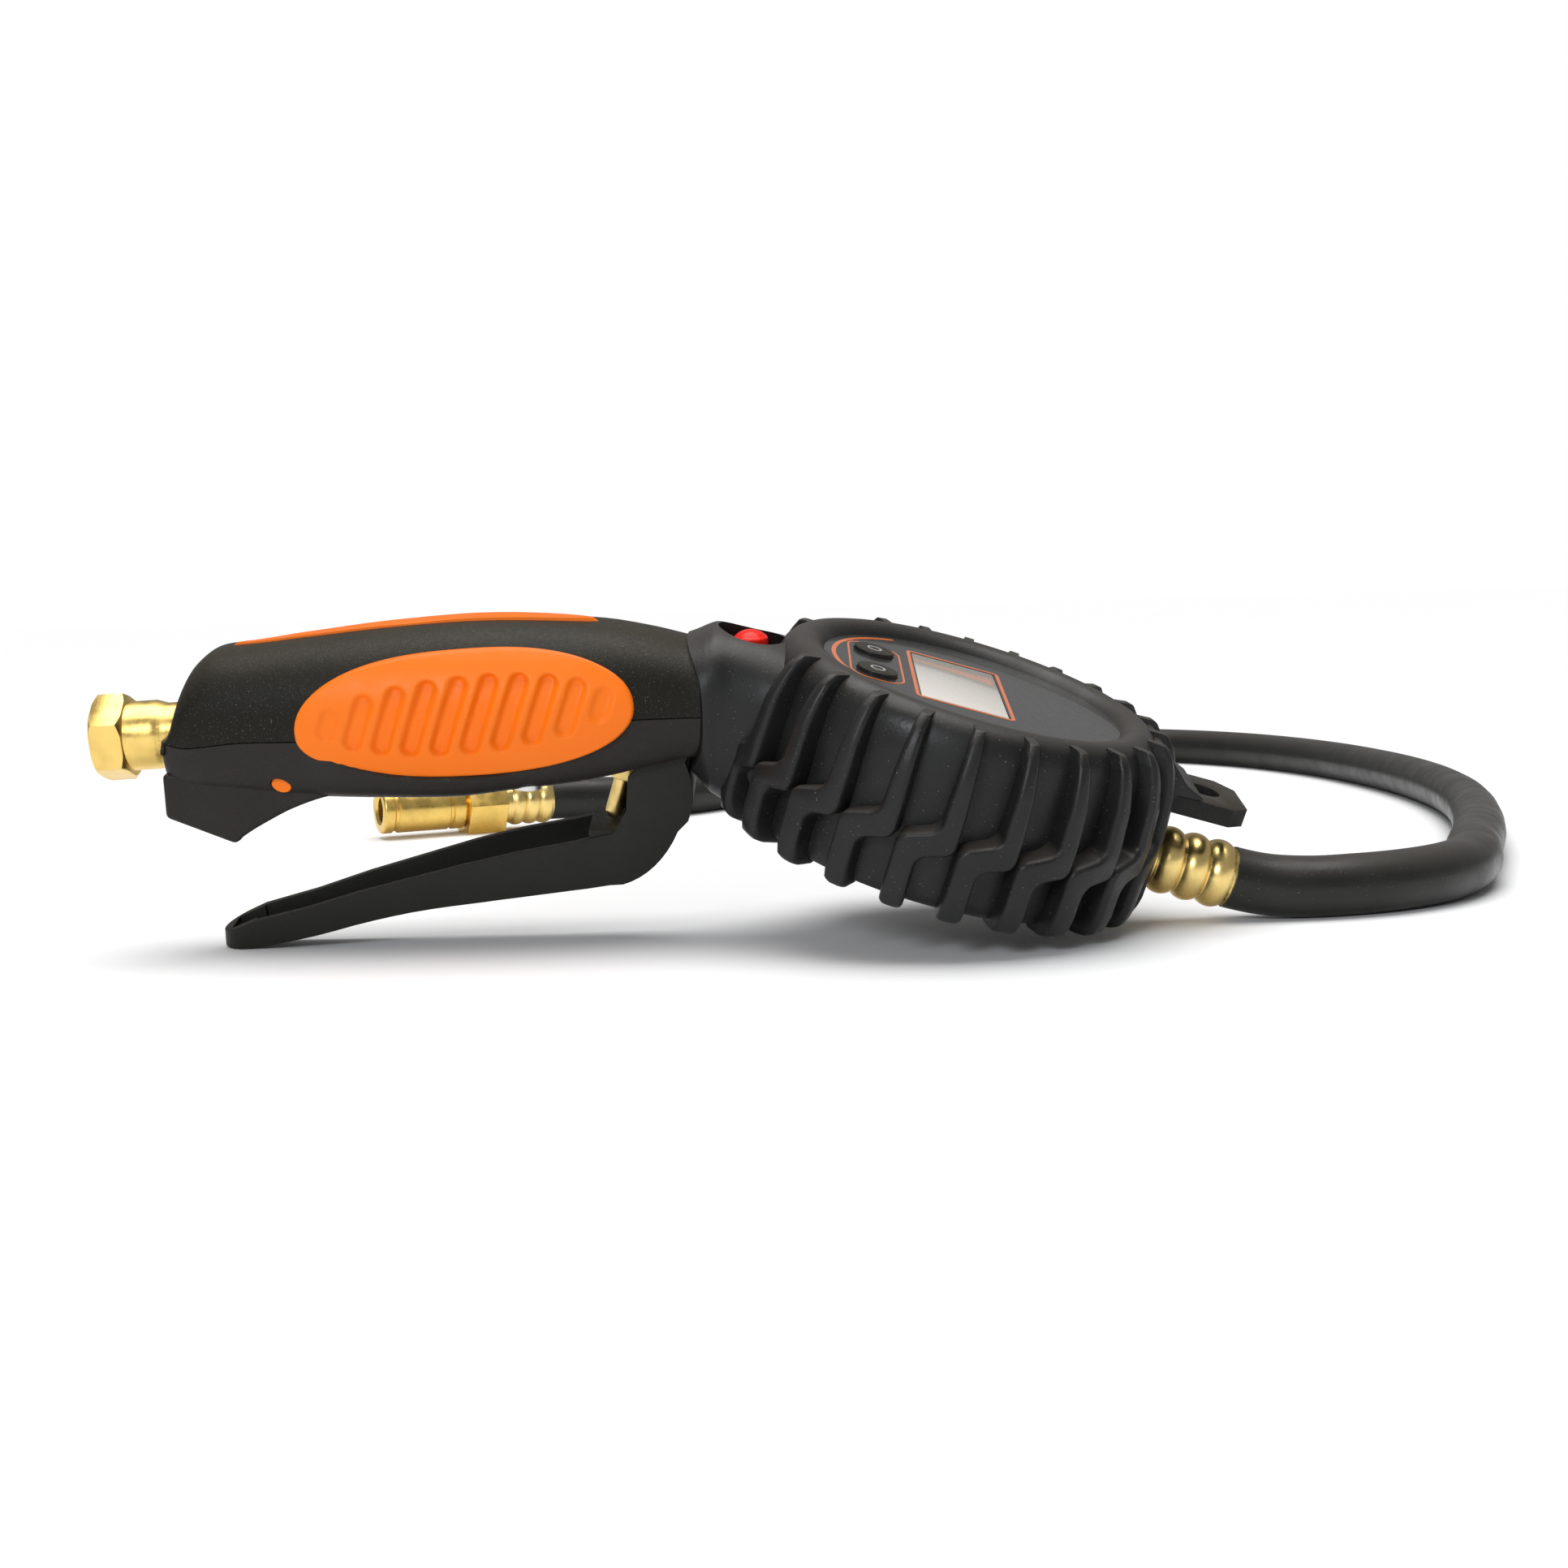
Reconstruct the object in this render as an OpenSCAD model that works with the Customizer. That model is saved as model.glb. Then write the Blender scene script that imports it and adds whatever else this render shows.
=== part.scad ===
// Hand-held tyre inflator: pistol handle with a squeeze lever, round digital gauge in a rubber boot,
// brass air inlet, and an air hose with a straight tyre chuck. Millimetres, +Z up.
// The gun is drawn upright, about its own middle plane Y = 0, and lying() then lays it on the ground.

/* [How it lies] */
// Lean of the gun to one side as it lies on the ground
gun_roll = 12; // [0:1:14]
// Nose-down tilt of the gun as it lies on the ground
gun_pitch = 1.6; // [0.4:0.2:2.6]

/* [Handle] */
// Length of the handle shells, from the rear face to the neck
handle_length = 113.5; // [108:0.5:118]
// Widest width of the handle
handle_width = 39; // [37:0.5:43]
// Width of the handle at its rear end
rear_width = 30; // [29:0.5:34]
// Width of the handle at the neck
front_width = 32; // [31:0.5:35]
// Height of the crown of the handle above the parting plane
crown_height = 19.4; // [18.6:0.2:22]
// Height of the rear end above the parting plane
rear_height = 13.6; // [12.8:0.2:15]
// Height of the front end above the parting plane
front_height = 14.6; // [14:0.2:17]
// Depth of the belly of the handle below the parting plane
belly_depth = 19; // [18:0.2:21]
// Depth of the front end below the parting plane
front_depth = 11.4; // [10.8:0.2:12.6]
// Height of the parting plane above the lever tip
parting_z = 56; // [55:0.5:58]
// Wall of the handle shells
shell_wall = 2.8; // [2.2:0.1:3]
// Squareness of the handle's section, 2 for an ellipse
squareness = 2.4; // [2.2:0.1:2.8]
// Radius of the rounded rear end
rear_radius = 11; // [8:0.5:14]
// Length of the slope at the top of the rear end
rear_slope = 19; // [16:1:21]
// Width of the guard under the rear end
chin_width = 26; // [25:0.5:28]
// Depth of the guard's tip below the parting plane
chin_depth = 28; // [26:0.5:29]
// Diameter of the shell screws
shell_screw_d = 3; // [2.5:0.1:3.2]

/* [Grip pads] */
// Length of a side pad
pad_length = 72; // [64:1:76]
// Height of a side pad
pad_height = 28; // [25:0.5:29]
// Thickness of a side pad
pad_thickness = 2.6; // [2.2:0.1:2.9]
// How far a side pad stands out of the handle's side
pad_proud = 1.4; // [1.1:0.1:1.8]
// Tilt of a side pad, front end up
pad_tilt = 3.5; // [0:0.5:6]
// Number of grooves in a side pad
groove_count = 10; // [6:1:10]
// Distance between grooves
groove_pitch = 6.4; // [5.6:0.1:6.6]
// Radius of a groove
groove_radius = 1.3; // [1:0.1:1.5]
// Lean of the grooves
groove_lean = 11; // [0:1:14]
// Length of the top strip
strip_length = 80; // [60:2:82]
// Width of the top strip
strip_width = 7; // [6:1:10]

/* [Air inlet] */
// Hexagon of the inlet, across flats
inlet_hex = 17; // [16:0.5:19]
// Length of the inlet's hexagon
inlet_hex_length = 7; // [6:0.5:8]
// Diameter of the inlet's collar
inlet_collar_d = 15.2; // [14.6:0.2:17]
// Radius of the thread's minor diameter (G 1/4 inch)
inlet_thread_r = 5.72; // [5:0.01:6]
// Depth of the threaded hole
inlet_thread_depth = 12; // [10:0.5:13]
// Length of the inlet outside the handle
inlet_length = 17; // [16:0.5:20]
// Diameter of the air tube inside the handle
air_tube_d = 11; // [10:0.2:11.6]

/* [Lever and valve] */
// Width of the lever
lever_width = 20; // [19.4:0.1:20.6]
// Wall of the lever's channel
lever_wall = 2; // [1.6:0.1:2.4]
// Length of the lever from its pivot to its tip
lever_reach = 101; // [95:1:102]
// Squeeze travel of the lever, in degrees
lever_travel = 9; // [6:0.5:9]
// Diameter of the lever pin
lever_pin_d = 3; // [2.5:0.1:3.2]
// Diameter of the valve stem
stem_d = 3.8; // [3.4:0.1:4]
// Lean of the valve stem
stem_lean = 16; // [12:1:18]

/* [Bleed button] */
// Diameter of the bleed button
button_d = 7.6; // [7:0.1:8]
// Travel of the bleed button
button_travel = 2; // [1.5:0.1:2.2]

/* [Gauge] */
// Tilt of the gauge against the handle
gauge_tilt = 15.5; // [14:0.5:16.5]
// Diameter of the boot's wall, without its tread ribs
boot_d = 89; // [88:0.5:91]
// Height of the boot, ribs included
boot_height = 41; // [40.6:0.2:42]
// Thickness of the boot's rubber
boot_wall = 2.7; // [2.3:0.1:2.9]
// Height of the tread ribs above the boot's wall
rib_height = 3.5; // [2.5:0.1:4.2]
// Number of tread ribs round the full circle
rib_count = 24; // [18:1:24]
// Width of a tread lug
lug_width = 5.4; // [4.6:0.1:5.6]
// Sideways step of a tread rib
rib_step = 7.2; // [6.2:0.1:7.4]
// Diameter of the window in the boot
window_d = 65; // [63:0.5:70]
// Wall of the gauge case
case_wall = 2.3; // [2:0.1:2.5]
// Width of the display window
display_w = 20; // [18:0.5:22]
// Length of the display window
display_l = 38; // [34:0.5:40]
// Diameter of a key
key_d = 9; // [8:0.1:9.6]
// Travel of a key
key_travel = 0.5; // [0.3:0.1:0.5]
// Length of the hanger tab from the gauge's axis
hanger_reach = 63; // [60:0.5:66]
// Width of the hanger tab
hanger_width = 22; // [20:0.5:24]
// Thickness of the hanger tab
hanger_thickness = 4; // [3.4:0.1:4.4]
// Diameter of the hanger hole
hanger_hole_d = 8; // [7:0.1:9]

/* [Hose and chuck] */
// Outer diameter of the hose
hose_d = 14; // [13:0.5:14.5]
// Diameter of the hose ferrule over its beads
ferrule_d = 17.6; // [16.8:0.1:18.2]
// Length of the hose ferrule
ferrule_length = 20.6; // [18:0.2:22]
// Outer diameter of the chuck
chuck_d = 15.4; // [15:0.1:17]
// Length of the chuck's barrel
chuck_length = 28; // [24:0.5:32]
// Hexagon of the chuck, across flats
chuck_hex = 19; // [17.5:0.5:20]
// Diameter of the bore that goes over a tyre valve
chuck_bore_d = 8.2; // [7.9:0.1:8.6]

/* [Hidden] */
$fn = 48;

// Clearances
gap = 0.15;
running = 0.05;

// Handle: x runs from the rear face to the neck
front_x = 5.5;
rear_x = front_x - handle_length;
pad_x = (rear_x + front_x) / 2 + 9;
pad_z = parting_z + 1.5;
strip_x = (rear_x + front_x) / 2 - 3.5;
belly_z = parting_z - belly_depth;
plug_x = rear_x + 25.5;
plug_z = parting_z - 13.8;
crown_line = [
  [0, rear_height], [0.14, rear_height], [0.26, crown_height - 4], [0.44, crown_height - 1.4],
  [0.62, crown_height], [0.82, crown_height - 0.8], [0.92, crown_height - 2.6], [1, front_height]
];
belly_line = [
  [0, belly_depth - 2], [0.2, belly_depth - 0.6], [0.35, belly_depth], [0.55, belly_depth],
  [0.7, belly_depth - 1.8], [0.88, belly_depth - 3.6], [1, front_depth]
];
width_line = [
  [0, rear_width / 2], [0.15, rear_width / 2 + 1.5], [0.38, handle_width / 2 - 0.6],
  [0.6, handle_width / 2], [0.86, handle_width / 2 - 1.6], [1, front_width / 2]
];
section_steps = 14;
stations = 16;
rear_flat = 0.6;

// Air line through the handle
inlet_z = parting_z - 6.6;
inlet_rise = 4;
inlet_neck_r = 6.8;
tube_bore = air_tube_d - 4;
body_start = 84;
body_end = 112;
body_r = 7;

// Valve stem, its foot standing on the lever's striker
stem_x = -13;
stem_z = 30;
seat_s = 25.5;
chamber_s = 36;
poppet_r = 3.8;
chamber_r = 4.5;
gland_hex = 7.4;
gland_r = 3;
gland_s = 10;
// Height of the striker's face, just under the stem's round foot
striker_top = stem_z - stem_d / 2 * (1 - cos(stem_lean)) - 0.1;

// Lever, about its pivot
pivot_x = 0;
pivot_z = 48;
pivot_boss_r = 4.6;
tip_x = pivot_x - lever_reach;
heel_x = 4.6;
lever_tip_width = 13;
floor_thickness = 2.4;
handle_slot = 21.2;
pin_length = 27;

// Screws of the handle, [x, half spacing, top of the upper boss]
screw_places = [[-92, 7.2, 64.4], [-30, 10.2, 71.2]];
screw_end = 62;
screw_boss_r = 3;

// Gauge frame: origin at the middle of the boot's underside
gauge_x = 58.2;
gauge_z = 23;
outlet_h = 11;
drum_bottom = 2.5;
case_bottom = 5;
case_top = 37;
case_r = boot_d / 2 - boot_wall - gap;
taper_h = 26;
taper = 2.9;
face_thickness = 1;
face_r = case_r - taper - 0.3;
lip_under = case_top + face_thickness + 0.1;
cover_r = 33;
cover_thickness = 2.1;
board_h = 27;
board_thickness = 1.6;
board_r = 35.5;
battery_d = 10.5;
battery_length = 44.5;
battery_y = 17;
battery_h = case_bottom + 0.15 + battery_d / 2;
manifold_r = 4.6;
cover_screw_r = 28.5;
cover_screw_angle = 20;
display_x = 1;
key_x = -24;
key_y = 9;
hanger_h = 24.8;
hanger_hole_x = 54;
tread_phase = 11.5;
neck_keepout = 27;

// Bleed valve in the neck
button_x = 18;
button_top = 73.6;
button_height = 9.5;
bleed_seat_z = 58;
well_x = button_x + 1.4;
well_half = 3.4;
well_r = button_d / 2 + 2.2;
well_floor = 66;
bleed_boss_r = 4.9;
bleed_stem_r = 1.5;
bleed_boss_top = bleed_seat_z + 3.8;
bleed_chamber_z = 49.6;
bleed_chamber_h = 5.8;
bleed_seal_r = 0.6;
bleed_seal_z = bleed_chamber_z + bleed_chamber_h - bleed_seal_r - 0.05;

// Lying on the ground
lie_x = -2.74;
lie_y = 7.43;
lie_z = -2.19;

// Hose: its route on the ground from the ferrule to the chuck, and the chuck's place
hose_r = hose_d / 2;
hose_sides = 12;
hose_route = [
  [148, 6, 7], [163, 13, 7], [176, 25, 7], [187, 42, 7], [198, 66, 7], [209, 96, 7], [219, 128, 7],
  [228, 162, 7], [235, 198, 7], [239, 234, 7], [240, 270, 7], [238, 306, 7], [233, 342, 7],
  [224, 376, 7], [210, 408, 7], [190, 436, 7], [164, 457, 7], [134, 466, 7], [104, 459, 7],
  [80, 438, 7], [63, 410, 7], [50, 378, 7], [37, 347, 7], [22, 317, 7], [2, 290, 7], [-20, 270, 7]
];
chuck_end = [-57, 244, chuck_hex / 2];
chuck_heading = 206;

// ---------- functions ----------

function spow(v, e) = sign(v) * pow(abs(v), e);

// Smooth curve through [place, value] pairs
function span_of(c, t, i = 0) = (i >= len(c) - 2 || t < c[i + 1][0]) ? i : span_of(c, t, i + 1);
function slope(c, i) =
  let (a = c[max(i - 1, 0)], b = c[min(i + 1, len(c) - 1)])
  (b[1] - a[1]) / (b[0] - a[0]);
function curve(c, t) =
  let (i = span_of(c, t), w = c[i + 1][0] - c[i][0], u = (t - c[i][0]) / w)
  (2 * u ^ 3 - 3 * u ^ 2 + 1) * c[i][1] + (u ^ 3 - 2 * u ^ 2 + u) * slope(c, i) * w
  + (3 * u ^ 2 - 2 * u ^ 3) * c[i + 1][1] + (u ^ 3 - u ^ 2) * slope(c, i + 1) * w;

// Rounding of the handle's rear end
function rear_round(t) =
  let (d = t * handle_length)
  d >= rear_radius ? 1 : rear_flat + (1 - rear_flat) * sqrt(1 - pow(1 - d / rear_radius, 2));
function half_width(t) = curve(width_line, t) * (0.4 + 0.6 * rear_round(t));
function rear_fall(t) =
  let (d = t * handle_length)
  d >= rear_slope ? 1 : 1 - 0.9 * pow(1 - d / rear_slope, 1.9);
function rise(t) = curve(crown_line, t) * rear_fall(t);
function drop(t) = curve(belly_line, t) * rear_round(t);

// Point of the handle's skin at station t and angle a, moved in by inset
function skin(t, a, inset = 0) = [
  rear_x + t * handle_length,
  (half_width(t) - inset) * spow(cos(a), 2 / squareness),
  parting_z + ((sin(a) >= 0 ? rise(t) : drop(t)) - inset) * spow(sin(a), 2 / squareness)
];
function station(i) = pow(i / stations, 1.4);

// Unit vector along a heading
function heading(a) = [cos(a), sin(a), 0];

// Tube through the neck, from the valve body to its socket for the gauge's manifold
neck_tube_r = 6;
socket_x = -49;
manifold_spigot_r = 3.5;
neck_start = [1, inlet_z + (1 - rear_x) * tan(inlet_rise)];
neck_end = from_gauge([socket_x, 0, outlet_h]);

// Turns a point of the gun as lying() does
function laid(p) =
  let (
    q = [p[0], p[1] * cos(gun_roll) - p[2] * sin(gun_roll), p[1] * sin(gun_roll) + p[2] * cos(gun_roll)]
  )
  [q[0] * cos(gun_pitch) + q[2] * sin(gun_pitch) + lie_x, q[1] + lie_y,
   -q[0] * sin(gun_pitch) + q[2] * cos(gun_pitch) + lie_z];
// Turns a point of the gauge frame into the gun's frame
function from_gauge(p) = [
  gauge_x + p[0] * cos(gauge_tilt) + p[2] * sin(gauge_tilt),
  p[1],
  gauge_z - p[0] * sin(gauge_tilt) + p[2] * cos(gauge_tilt)
];

// ---------- places ----------

module lying() {
  translate([lie_x, lie_y, lie_z]) rotate([gun_roll, gun_pitch, 0]) children();
}
module in_gauge() {
  lying() translate([gauge_x, 0, gauge_z]) rotate([0, gauge_tilt, 0]) children();
}
// Along the air line, at distance d from the handle's rear face
module on_air_line(d) {
  translate([rear_x, 0, inlet_z]) rotate([0, 90 - inlet_rise, 0]) translate([0, 0, d]) children();
}
// Along the valve stem, at distance s from its foot
module on_stem(s) {
  translate([stem_x, 0, stem_z]) rotate([0, stem_lean, 0]) translate([0, 0, s]) children();
}
// Along the hose outlet, at distance d from the gauge's axis
module on_outlet(d) {
  translate([d, 0, outlet_h]) rotate([0, 90, 0]) children();
}
module on_chuck(d) {
  translate(chuck_end + d * heading(chuck_heading)) rotate([0, 0, chuck_heading]) rotate([0, 90, 0]) children();
}

// ---------- shared shapes ----------

// Round bar in the XZ plane from p to q
module bar(p, q, r) {
  d = q - p;
  translate([p[0], 0, p[1]]) rotate([0, atan2(d[0], d[1]), 0]) cylinder(h = norm(d), r = r);
}
module ring(outer_r, inner_r, h) {
  difference() {
    cylinder(h = h, r = outer_r);
    translate([0, 0, -1]) cylinder(h = h + 2, r = inner_r);
  }
}
// Closed solid through convex rings of points, each run counterclockwise as seen from the last ring's side
module loft(rings) {
  n = len(rings[0]);
  m = len(rings);
  points = [for (r = rings) for (p = r) p];
  sides = [
    for (i = [0:m - 2]) for (j = [0:n - 1])
      let (a = i * n + j, b = i * n + (j + 1) % n)
      each [[a, b + n, b], [a, a + n, b + n]]
  ];
  polyhedron(points, concat([[for (j = [0:n - 1]) j]], sides, [[for (j = [n - 1:-1:0]) (m - 1) * n + j]]));
}
// Half of the handle: from is 0 for the upper half and 180 for the lower one
module handle_half(from, inset = 0) {
  loft([
    for (i = [0:stations])
      [for (j = [0:section_steps]) skin(station(i), from + j * 180 / section_steps, inset)]
  ]);
}
module handle_cavity() {
  inner_stations = 9;
  start = (shell_wall + 1) / handle_length;
  loft([
    for (i = [0:inner_stations])
      let (t = start + (1.02 - start) * i / inner_stations)
      [for (j = [0:19]) skin(min(t, 1), j * 18, shell_wall) + [max(t - 1, 0) * handle_length, 0, 0]]
  ]);
}
// Oval of a side pad in the XZ plane, run along Y
module pad_prism(grow) {
  translate([pad_x, 0, pad_z]) rotate([90, -pad_tilt, 0])
    linear_extrude(height = 60, center = true)
      polygon([
        for (a = [0:9:351])
          [(pad_length / 2 + grow) * spow(cos(a), 0.86), (pad_height / 2 + grow) * spow(sin(a), 0.94)]
      ]);
}
// Barrel about the handle's length that carries the pads
module barrel(inset) {
  bulge = 325;
  top_r = handle_width / 2 + pad_proud - inset;
  translate([pad_x, 0, parting_z]) rotate([0, 90, 0]) rotate_extrude()
    intersection() {
      translate([top_r - bulge + inset, 0]) circle(r = bulge - inset, $fn = 400);
      translate([0, -pad_length]) square([60, 2 * pad_length]);
    }
}
module pad_pocket() {
  difference() {
    pad_prism(gap);
    barrel(pad_thickness + gap);
  }
}
module grip_pad(side) {
  groove_at = handle_width / 2 + pad_proud + groove_radius * 0.35;
  difference() {
    intersection() {
      difference() {
        barrel(0);
        barrel(pad_thickness);
      }
      pad_prism(0);
      translate([-200, side > 0 ? 0 : -100, 0]) cube([400, 100, 200]);
    }
    for (i = [0:groove_count - 1]) {
      off = (i - (groove_count - 1) / 2) * groove_pitch;
      reach = 40 * sqrt(1 - pow(off / (pad_length / 2), 2));
      sag = pow(off, 2) / 650;
      translate([pad_x + off, 0, pad_z + off * tan(pad_tilt)]) rotate([0, groove_lean, 0])
        rotate([0, 90, 0]) rotate([0, 0, side * 90 - reach])
          rotate_extrude(angle = 2 * reach) translate([groove_at - sag, 0]) circle(r = groove_radius);
    }
  }
}
// Oval strip along the handle's top, from down below the skin to up above it
module strip_body(grow, up, down) {
  difference() {
    intersection() {
      translate([strip_x, 0, 0]) linear_extrude(height = 100)
        polygon([
          for (a = [0:9:351])
            [(strip_length / 2 + grow) * spow(cos(a), 0.9), (strip_width / 2 + grow) * sin(a)]
        ]);
      handle_half(0, -up);
    }
    handle_half(0, down);
  }
}
// Cylinders at the handle's screws; a to of 0 runs them up to the top of their bosses
module at_screws(r, from, to) {
  for (p = screw_places) for (y = [-1, 1])
    translate([p[0], y * p[1], from]) cylinder(h = (to == 0 ? p[2] : to) - from, r = r);
}
module air_line_space() {
  on_air_line(-5) cylinder(h = 20, r = inlet_neck_r + gap);
}

// ---------- handle ----------

module handle_upper_shell() {
  color([0.07, 0.07, 0.075]) lying() union() {
    difference() {
      handle_half(0);
      handle_cavity();
      pad_pocket();
      strip_body(gap, 3, 1.2 + gap);
      air_line_space();
    }
    difference() {
      at_screws(screw_boss_r, parting_z, 0);
      at_screws(shell_screw_d / 2 + running, parting_z - 1, screw_end + 2);
      on_air_line(0) cylinder(h = 90, r = air_tube_d / 2 + gap);
      pad_pocket();
    }
  }
}
module chin_profile() {
  tip = [rear_x + 12.5, parting_z - chin_depth];
  arc_r = 35;
  arc_top = parting_z - chin_depth + 11.6;
  polygon(concat(
    [[rear_x + 1.2, parting_z - 14], [rear_x + 0.8, parting_z - 21.6], tip],
    [for (a = [42:-6:0]) [tip[0] + 26 - arc_r * sin(a), arc_top - arc_r + arc_r * cos(a)]],
    [[tip[0] + 26, parting_z - 14]]
  ));
}
module handle_lower_shell() {
  chin_wall = (chin_width - handle_slot) / 2;
  color([0.05, 0.05, 0.055]) lying() difference() {
    union() {
      difference() {
        union() {
          handle_half(180);
          rotate([90, 0, 0]) linear_extrude(height = chin_width, center = true) chin_profile();
        }
        handle_cavity();
      }
      // Bosses for the screws and for the lever's pin
      intersection() {
        at_screws(screw_boss_r, belly_z, parting_z - gap);
        handle_half(180);
      }
      for (y = [-1, 1]) translate([pivot_x, y * (handle_slot / 2 + 1.4), pivot_z]) rotate([90, 0, 0])
        cylinder(h = 2.8, r = pivot_boss_r, center = true);
    }
    // Slot for the lever, open to the front, and the hollow of the guard
    translate([stem_x - 5, -handle_slot / 2, 0]) cube([40, handle_slot, pivot_z + 4]);
    translate([rear_x + 1.2 + chin_wall, -handle_slot / 2, 0]) cube([24, handle_slot, belly_z + 1.8]);
    translate([pivot_x, 0, pivot_z]) rotate([90, 0, 0])
      cylinder(h = pin_length, r = lever_pin_d / 2 + running, center = true);
    at_screws(shell_screw_d / 2 + gap, 0, parting_z + 1);
    at_screws(shell_screw_d + gap, 0, belly_z + 5);
    pad_pocket();
    side_plug_space(gap);
    air_line_space();
    on_air_line(0) cylinder(h = 90, r = air_tube_d / 2 + gap);
  }
}
module side_plug_space(grow) {
  for (y = [-1, 1]) translate([plug_x, y * (chin_width / 2 - 1), plug_z]) rotate([90, 0, 0])
    cylinder(h = 3 + 2 * grow, r = 2.2 + grow, center = true);
}
module side_plugs() {
  color([0.95, 0.35, 0.05]) lying() side_plug_space(0);
}
module shell_screws() {
  head = belly_z + 3;
  color([0.6, 0.6, 0.62]) lying() {
    at_screws(shell_screw_d / 2, head, screw_end);
    at_screws(shell_screw_d - 0.1, head, head + 1.9);
  }
}
module grip_pad_near() {
  color([0.95, 0.35, 0.05]) lying() grip_pad(-1);
}
module grip_pad_far() {
  color([0.95, 0.35, 0.05]) lying() grip_pad(1);
}
module top_strip() {
  color([0.95, 0.35, 0.05]) lying() strip_body(0, 0.7, 1.2);
}

// ---------- air line and valve ----------

module chamfered_hex(across, h) {
  corner = across / sqrt(3);
  intersection() {
    cylinder(h = h, r = corner, $fn = 6);
    rotate_extrude()
      polygon([[0, 0], [across / 2 + 0.2, 0], [corner, 0.8], [corner, h - 0.8], [across / 2 + 0.2, h], [0, h]]);
  }
}
module inlet_fitting() {
  collar = inlet_length - inlet_hex_length;
  color([0.78, 0.6, 0.2]) lying() difference() {
    union() {
      on_air_line(-inlet_length) chamfered_hex(inlet_hex, inlet_hex_length);
      on_air_line(-collar - 1) cylinder(h = collar - 3, r = inlet_collar_d / 2);
      on_air_line(-4) cylinder(h = 2.5, r1 = inlet_collar_d / 2, r2 = inlet_neck_r);
      on_air_line(-1.5) cylinder(h = 13.5, r = inlet_neck_r);
      on_air_line(11) cylinder(h = 9, r = tube_bore / 2);
    }
    on_air_line(-inlet_length - 1) cylinder(h = inlet_thread_depth + 1, r = inlet_thread_r);
    on_air_line(-inlet_length) cylinder(h = 60, r = 2.3);
    on_air_line(-inlet_length + inlet_thread_depth - 1) cylinder(h = 7, r = 4);
  }
}
module inlet_filter() {
  color([0.7, 0.6, 0.45]) lying()
    on_air_line(-inlet_length + inlet_thread_depth + 0.3) cylinder(h = 5.6, r = 3.9);
}
module air_tube() {
  color([0.78, 0.78, 0.8]) lying() on_air_line(12.5)
    ring(air_tube_d / 2, tube_bore / 2 + running, body_start - 12.5);
}
// Outside of the valve body's front end, in the rubber neck
module valve_outline(grow) {
  bar(neck_start, [neck_end[0] + 2.4, neck_end[2] - 2], neck_tube_r - 0.7 + grow);
  translate([gauge_x, 0, gauge_z]) rotate([0, gauge_tilt, 0]) on_outlet(socket_x - 3)
    cylinder(h = 9.6 + grow, r = neck_tube_r + grow);
  translate([button_x, 0, bleed_chamber_z - 4 - grow])
    cylinder(h = bleed_boss_top - bleed_chamber_z + 4 + 2 * grow, r = bleed_boss_r + grow);
}
module valve_body() {
  color([0.72, 0.72, 0.74]) lying() difference() {
    union() {
      on_air_line(body_start) cylinder(h = body_end - body_start, r = body_r);
      on_stem(22.8) cylinder(h = chamber_s - 22.8, r = 6.4);
      on_stem(14) cylinder(h = 10, r = 4.6);
      valve_outline(0);
    }
    translate([gauge_x, 0, gauge_z]) rotate([0, gauge_tilt, 0]) rotate_extrude() case_outline(gap);
    on_air_line(body_start - 1) cylinder(h = 16, r = tube_bore / 2);
    on_stem(seat_s) cylinder(h = 20, r = chamber_r);
    on_stem(13) cylinder(h = 9, r = gland_r + running);
    on_stem(20) cylinder(h = 10, r = 2.6);
    // Air that has passed the seat leaves below it, and reaches the bleed valve
    bar([-7, 52.2], [5, 52.9], 1.6);
    bar([neck_start[0] + 3, neck_start[1] - 2.3], [neck_end[0], neck_end[2]], 2.3);
    bar([neck_end[0], neck_end[2] + 0.3], [button_x - 0.8, bleed_chamber_z + 1], 1.2);
    translate([gauge_x, 0, gauge_z]) rotate([0, gauge_tilt, 0]) {
      on_outlet(socket_x - 1.6) cylinder(h = 20, r = 2.8);
      on_outlet(socket_x + 2) cylinder(h = 20, r = manifold_spigot_r + running);
    }
    translate([button_x, 0, bleed_chamber_z + 1]) cylinder(h = 20, r = bleed_stem_r + running);
    translate([button_x, 0, bleed_seat_z]) cylinder(h = 20, r = 3.4);
    translate([button_x, 0, bleed_chamber_z]) cylinder(h = bleed_chamber_h, r = 3);
  }
}
module valve_cap() {
  color([0.78, 0.6, 0.2]) lying() on_stem(chamber_s - 2.4) cylinder(h = 2.3, r = chamber_r - running);
}
module gland_nut() {
  color([0.78, 0.6, 0.2]) lying() difference() {
    union() {
      on_stem(gland_s) cylinder(h = 3.9, r = gland_hex / sqrt(3), $fn = 6);
      on_stem(gland_s + 3.8) cylinder(h = 6, r = gland_r);
    }
    on_stem(gland_s - 1) cylinder(h = 20, r = stem_d / 2 + running);
  }
}
module stem_seal() {
  color([0.03, 0.03, 0.03]) lying() on_stem(gland_s + 10.9) rotate_extrude()
    translate([stem_d / 2 + running + 0.5, 0]) circle(r = 0.5);
}
module valve_stem() {
  color([0.8, 0.62, 0.22]) lying() {
    on_stem(stem_d / 2) cylinder(h = seat_s, r = stem_d / 2);
    on_stem(stem_d / 2) sphere(r = stem_d / 2);
    on_stem(seat_s + 0.05) cylinder(h = 3, r = poppet_r);
  }
}
module valve_spring() {
  color([0.7, 0.7, 0.72]) lying() on_stem(seat_s + 3.1)
    ring(poppet_r - 0.2, poppet_r - 1, chamber_s - 2.5 - seat_s - 3.1);
}

// ---------- lever ----------

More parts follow.
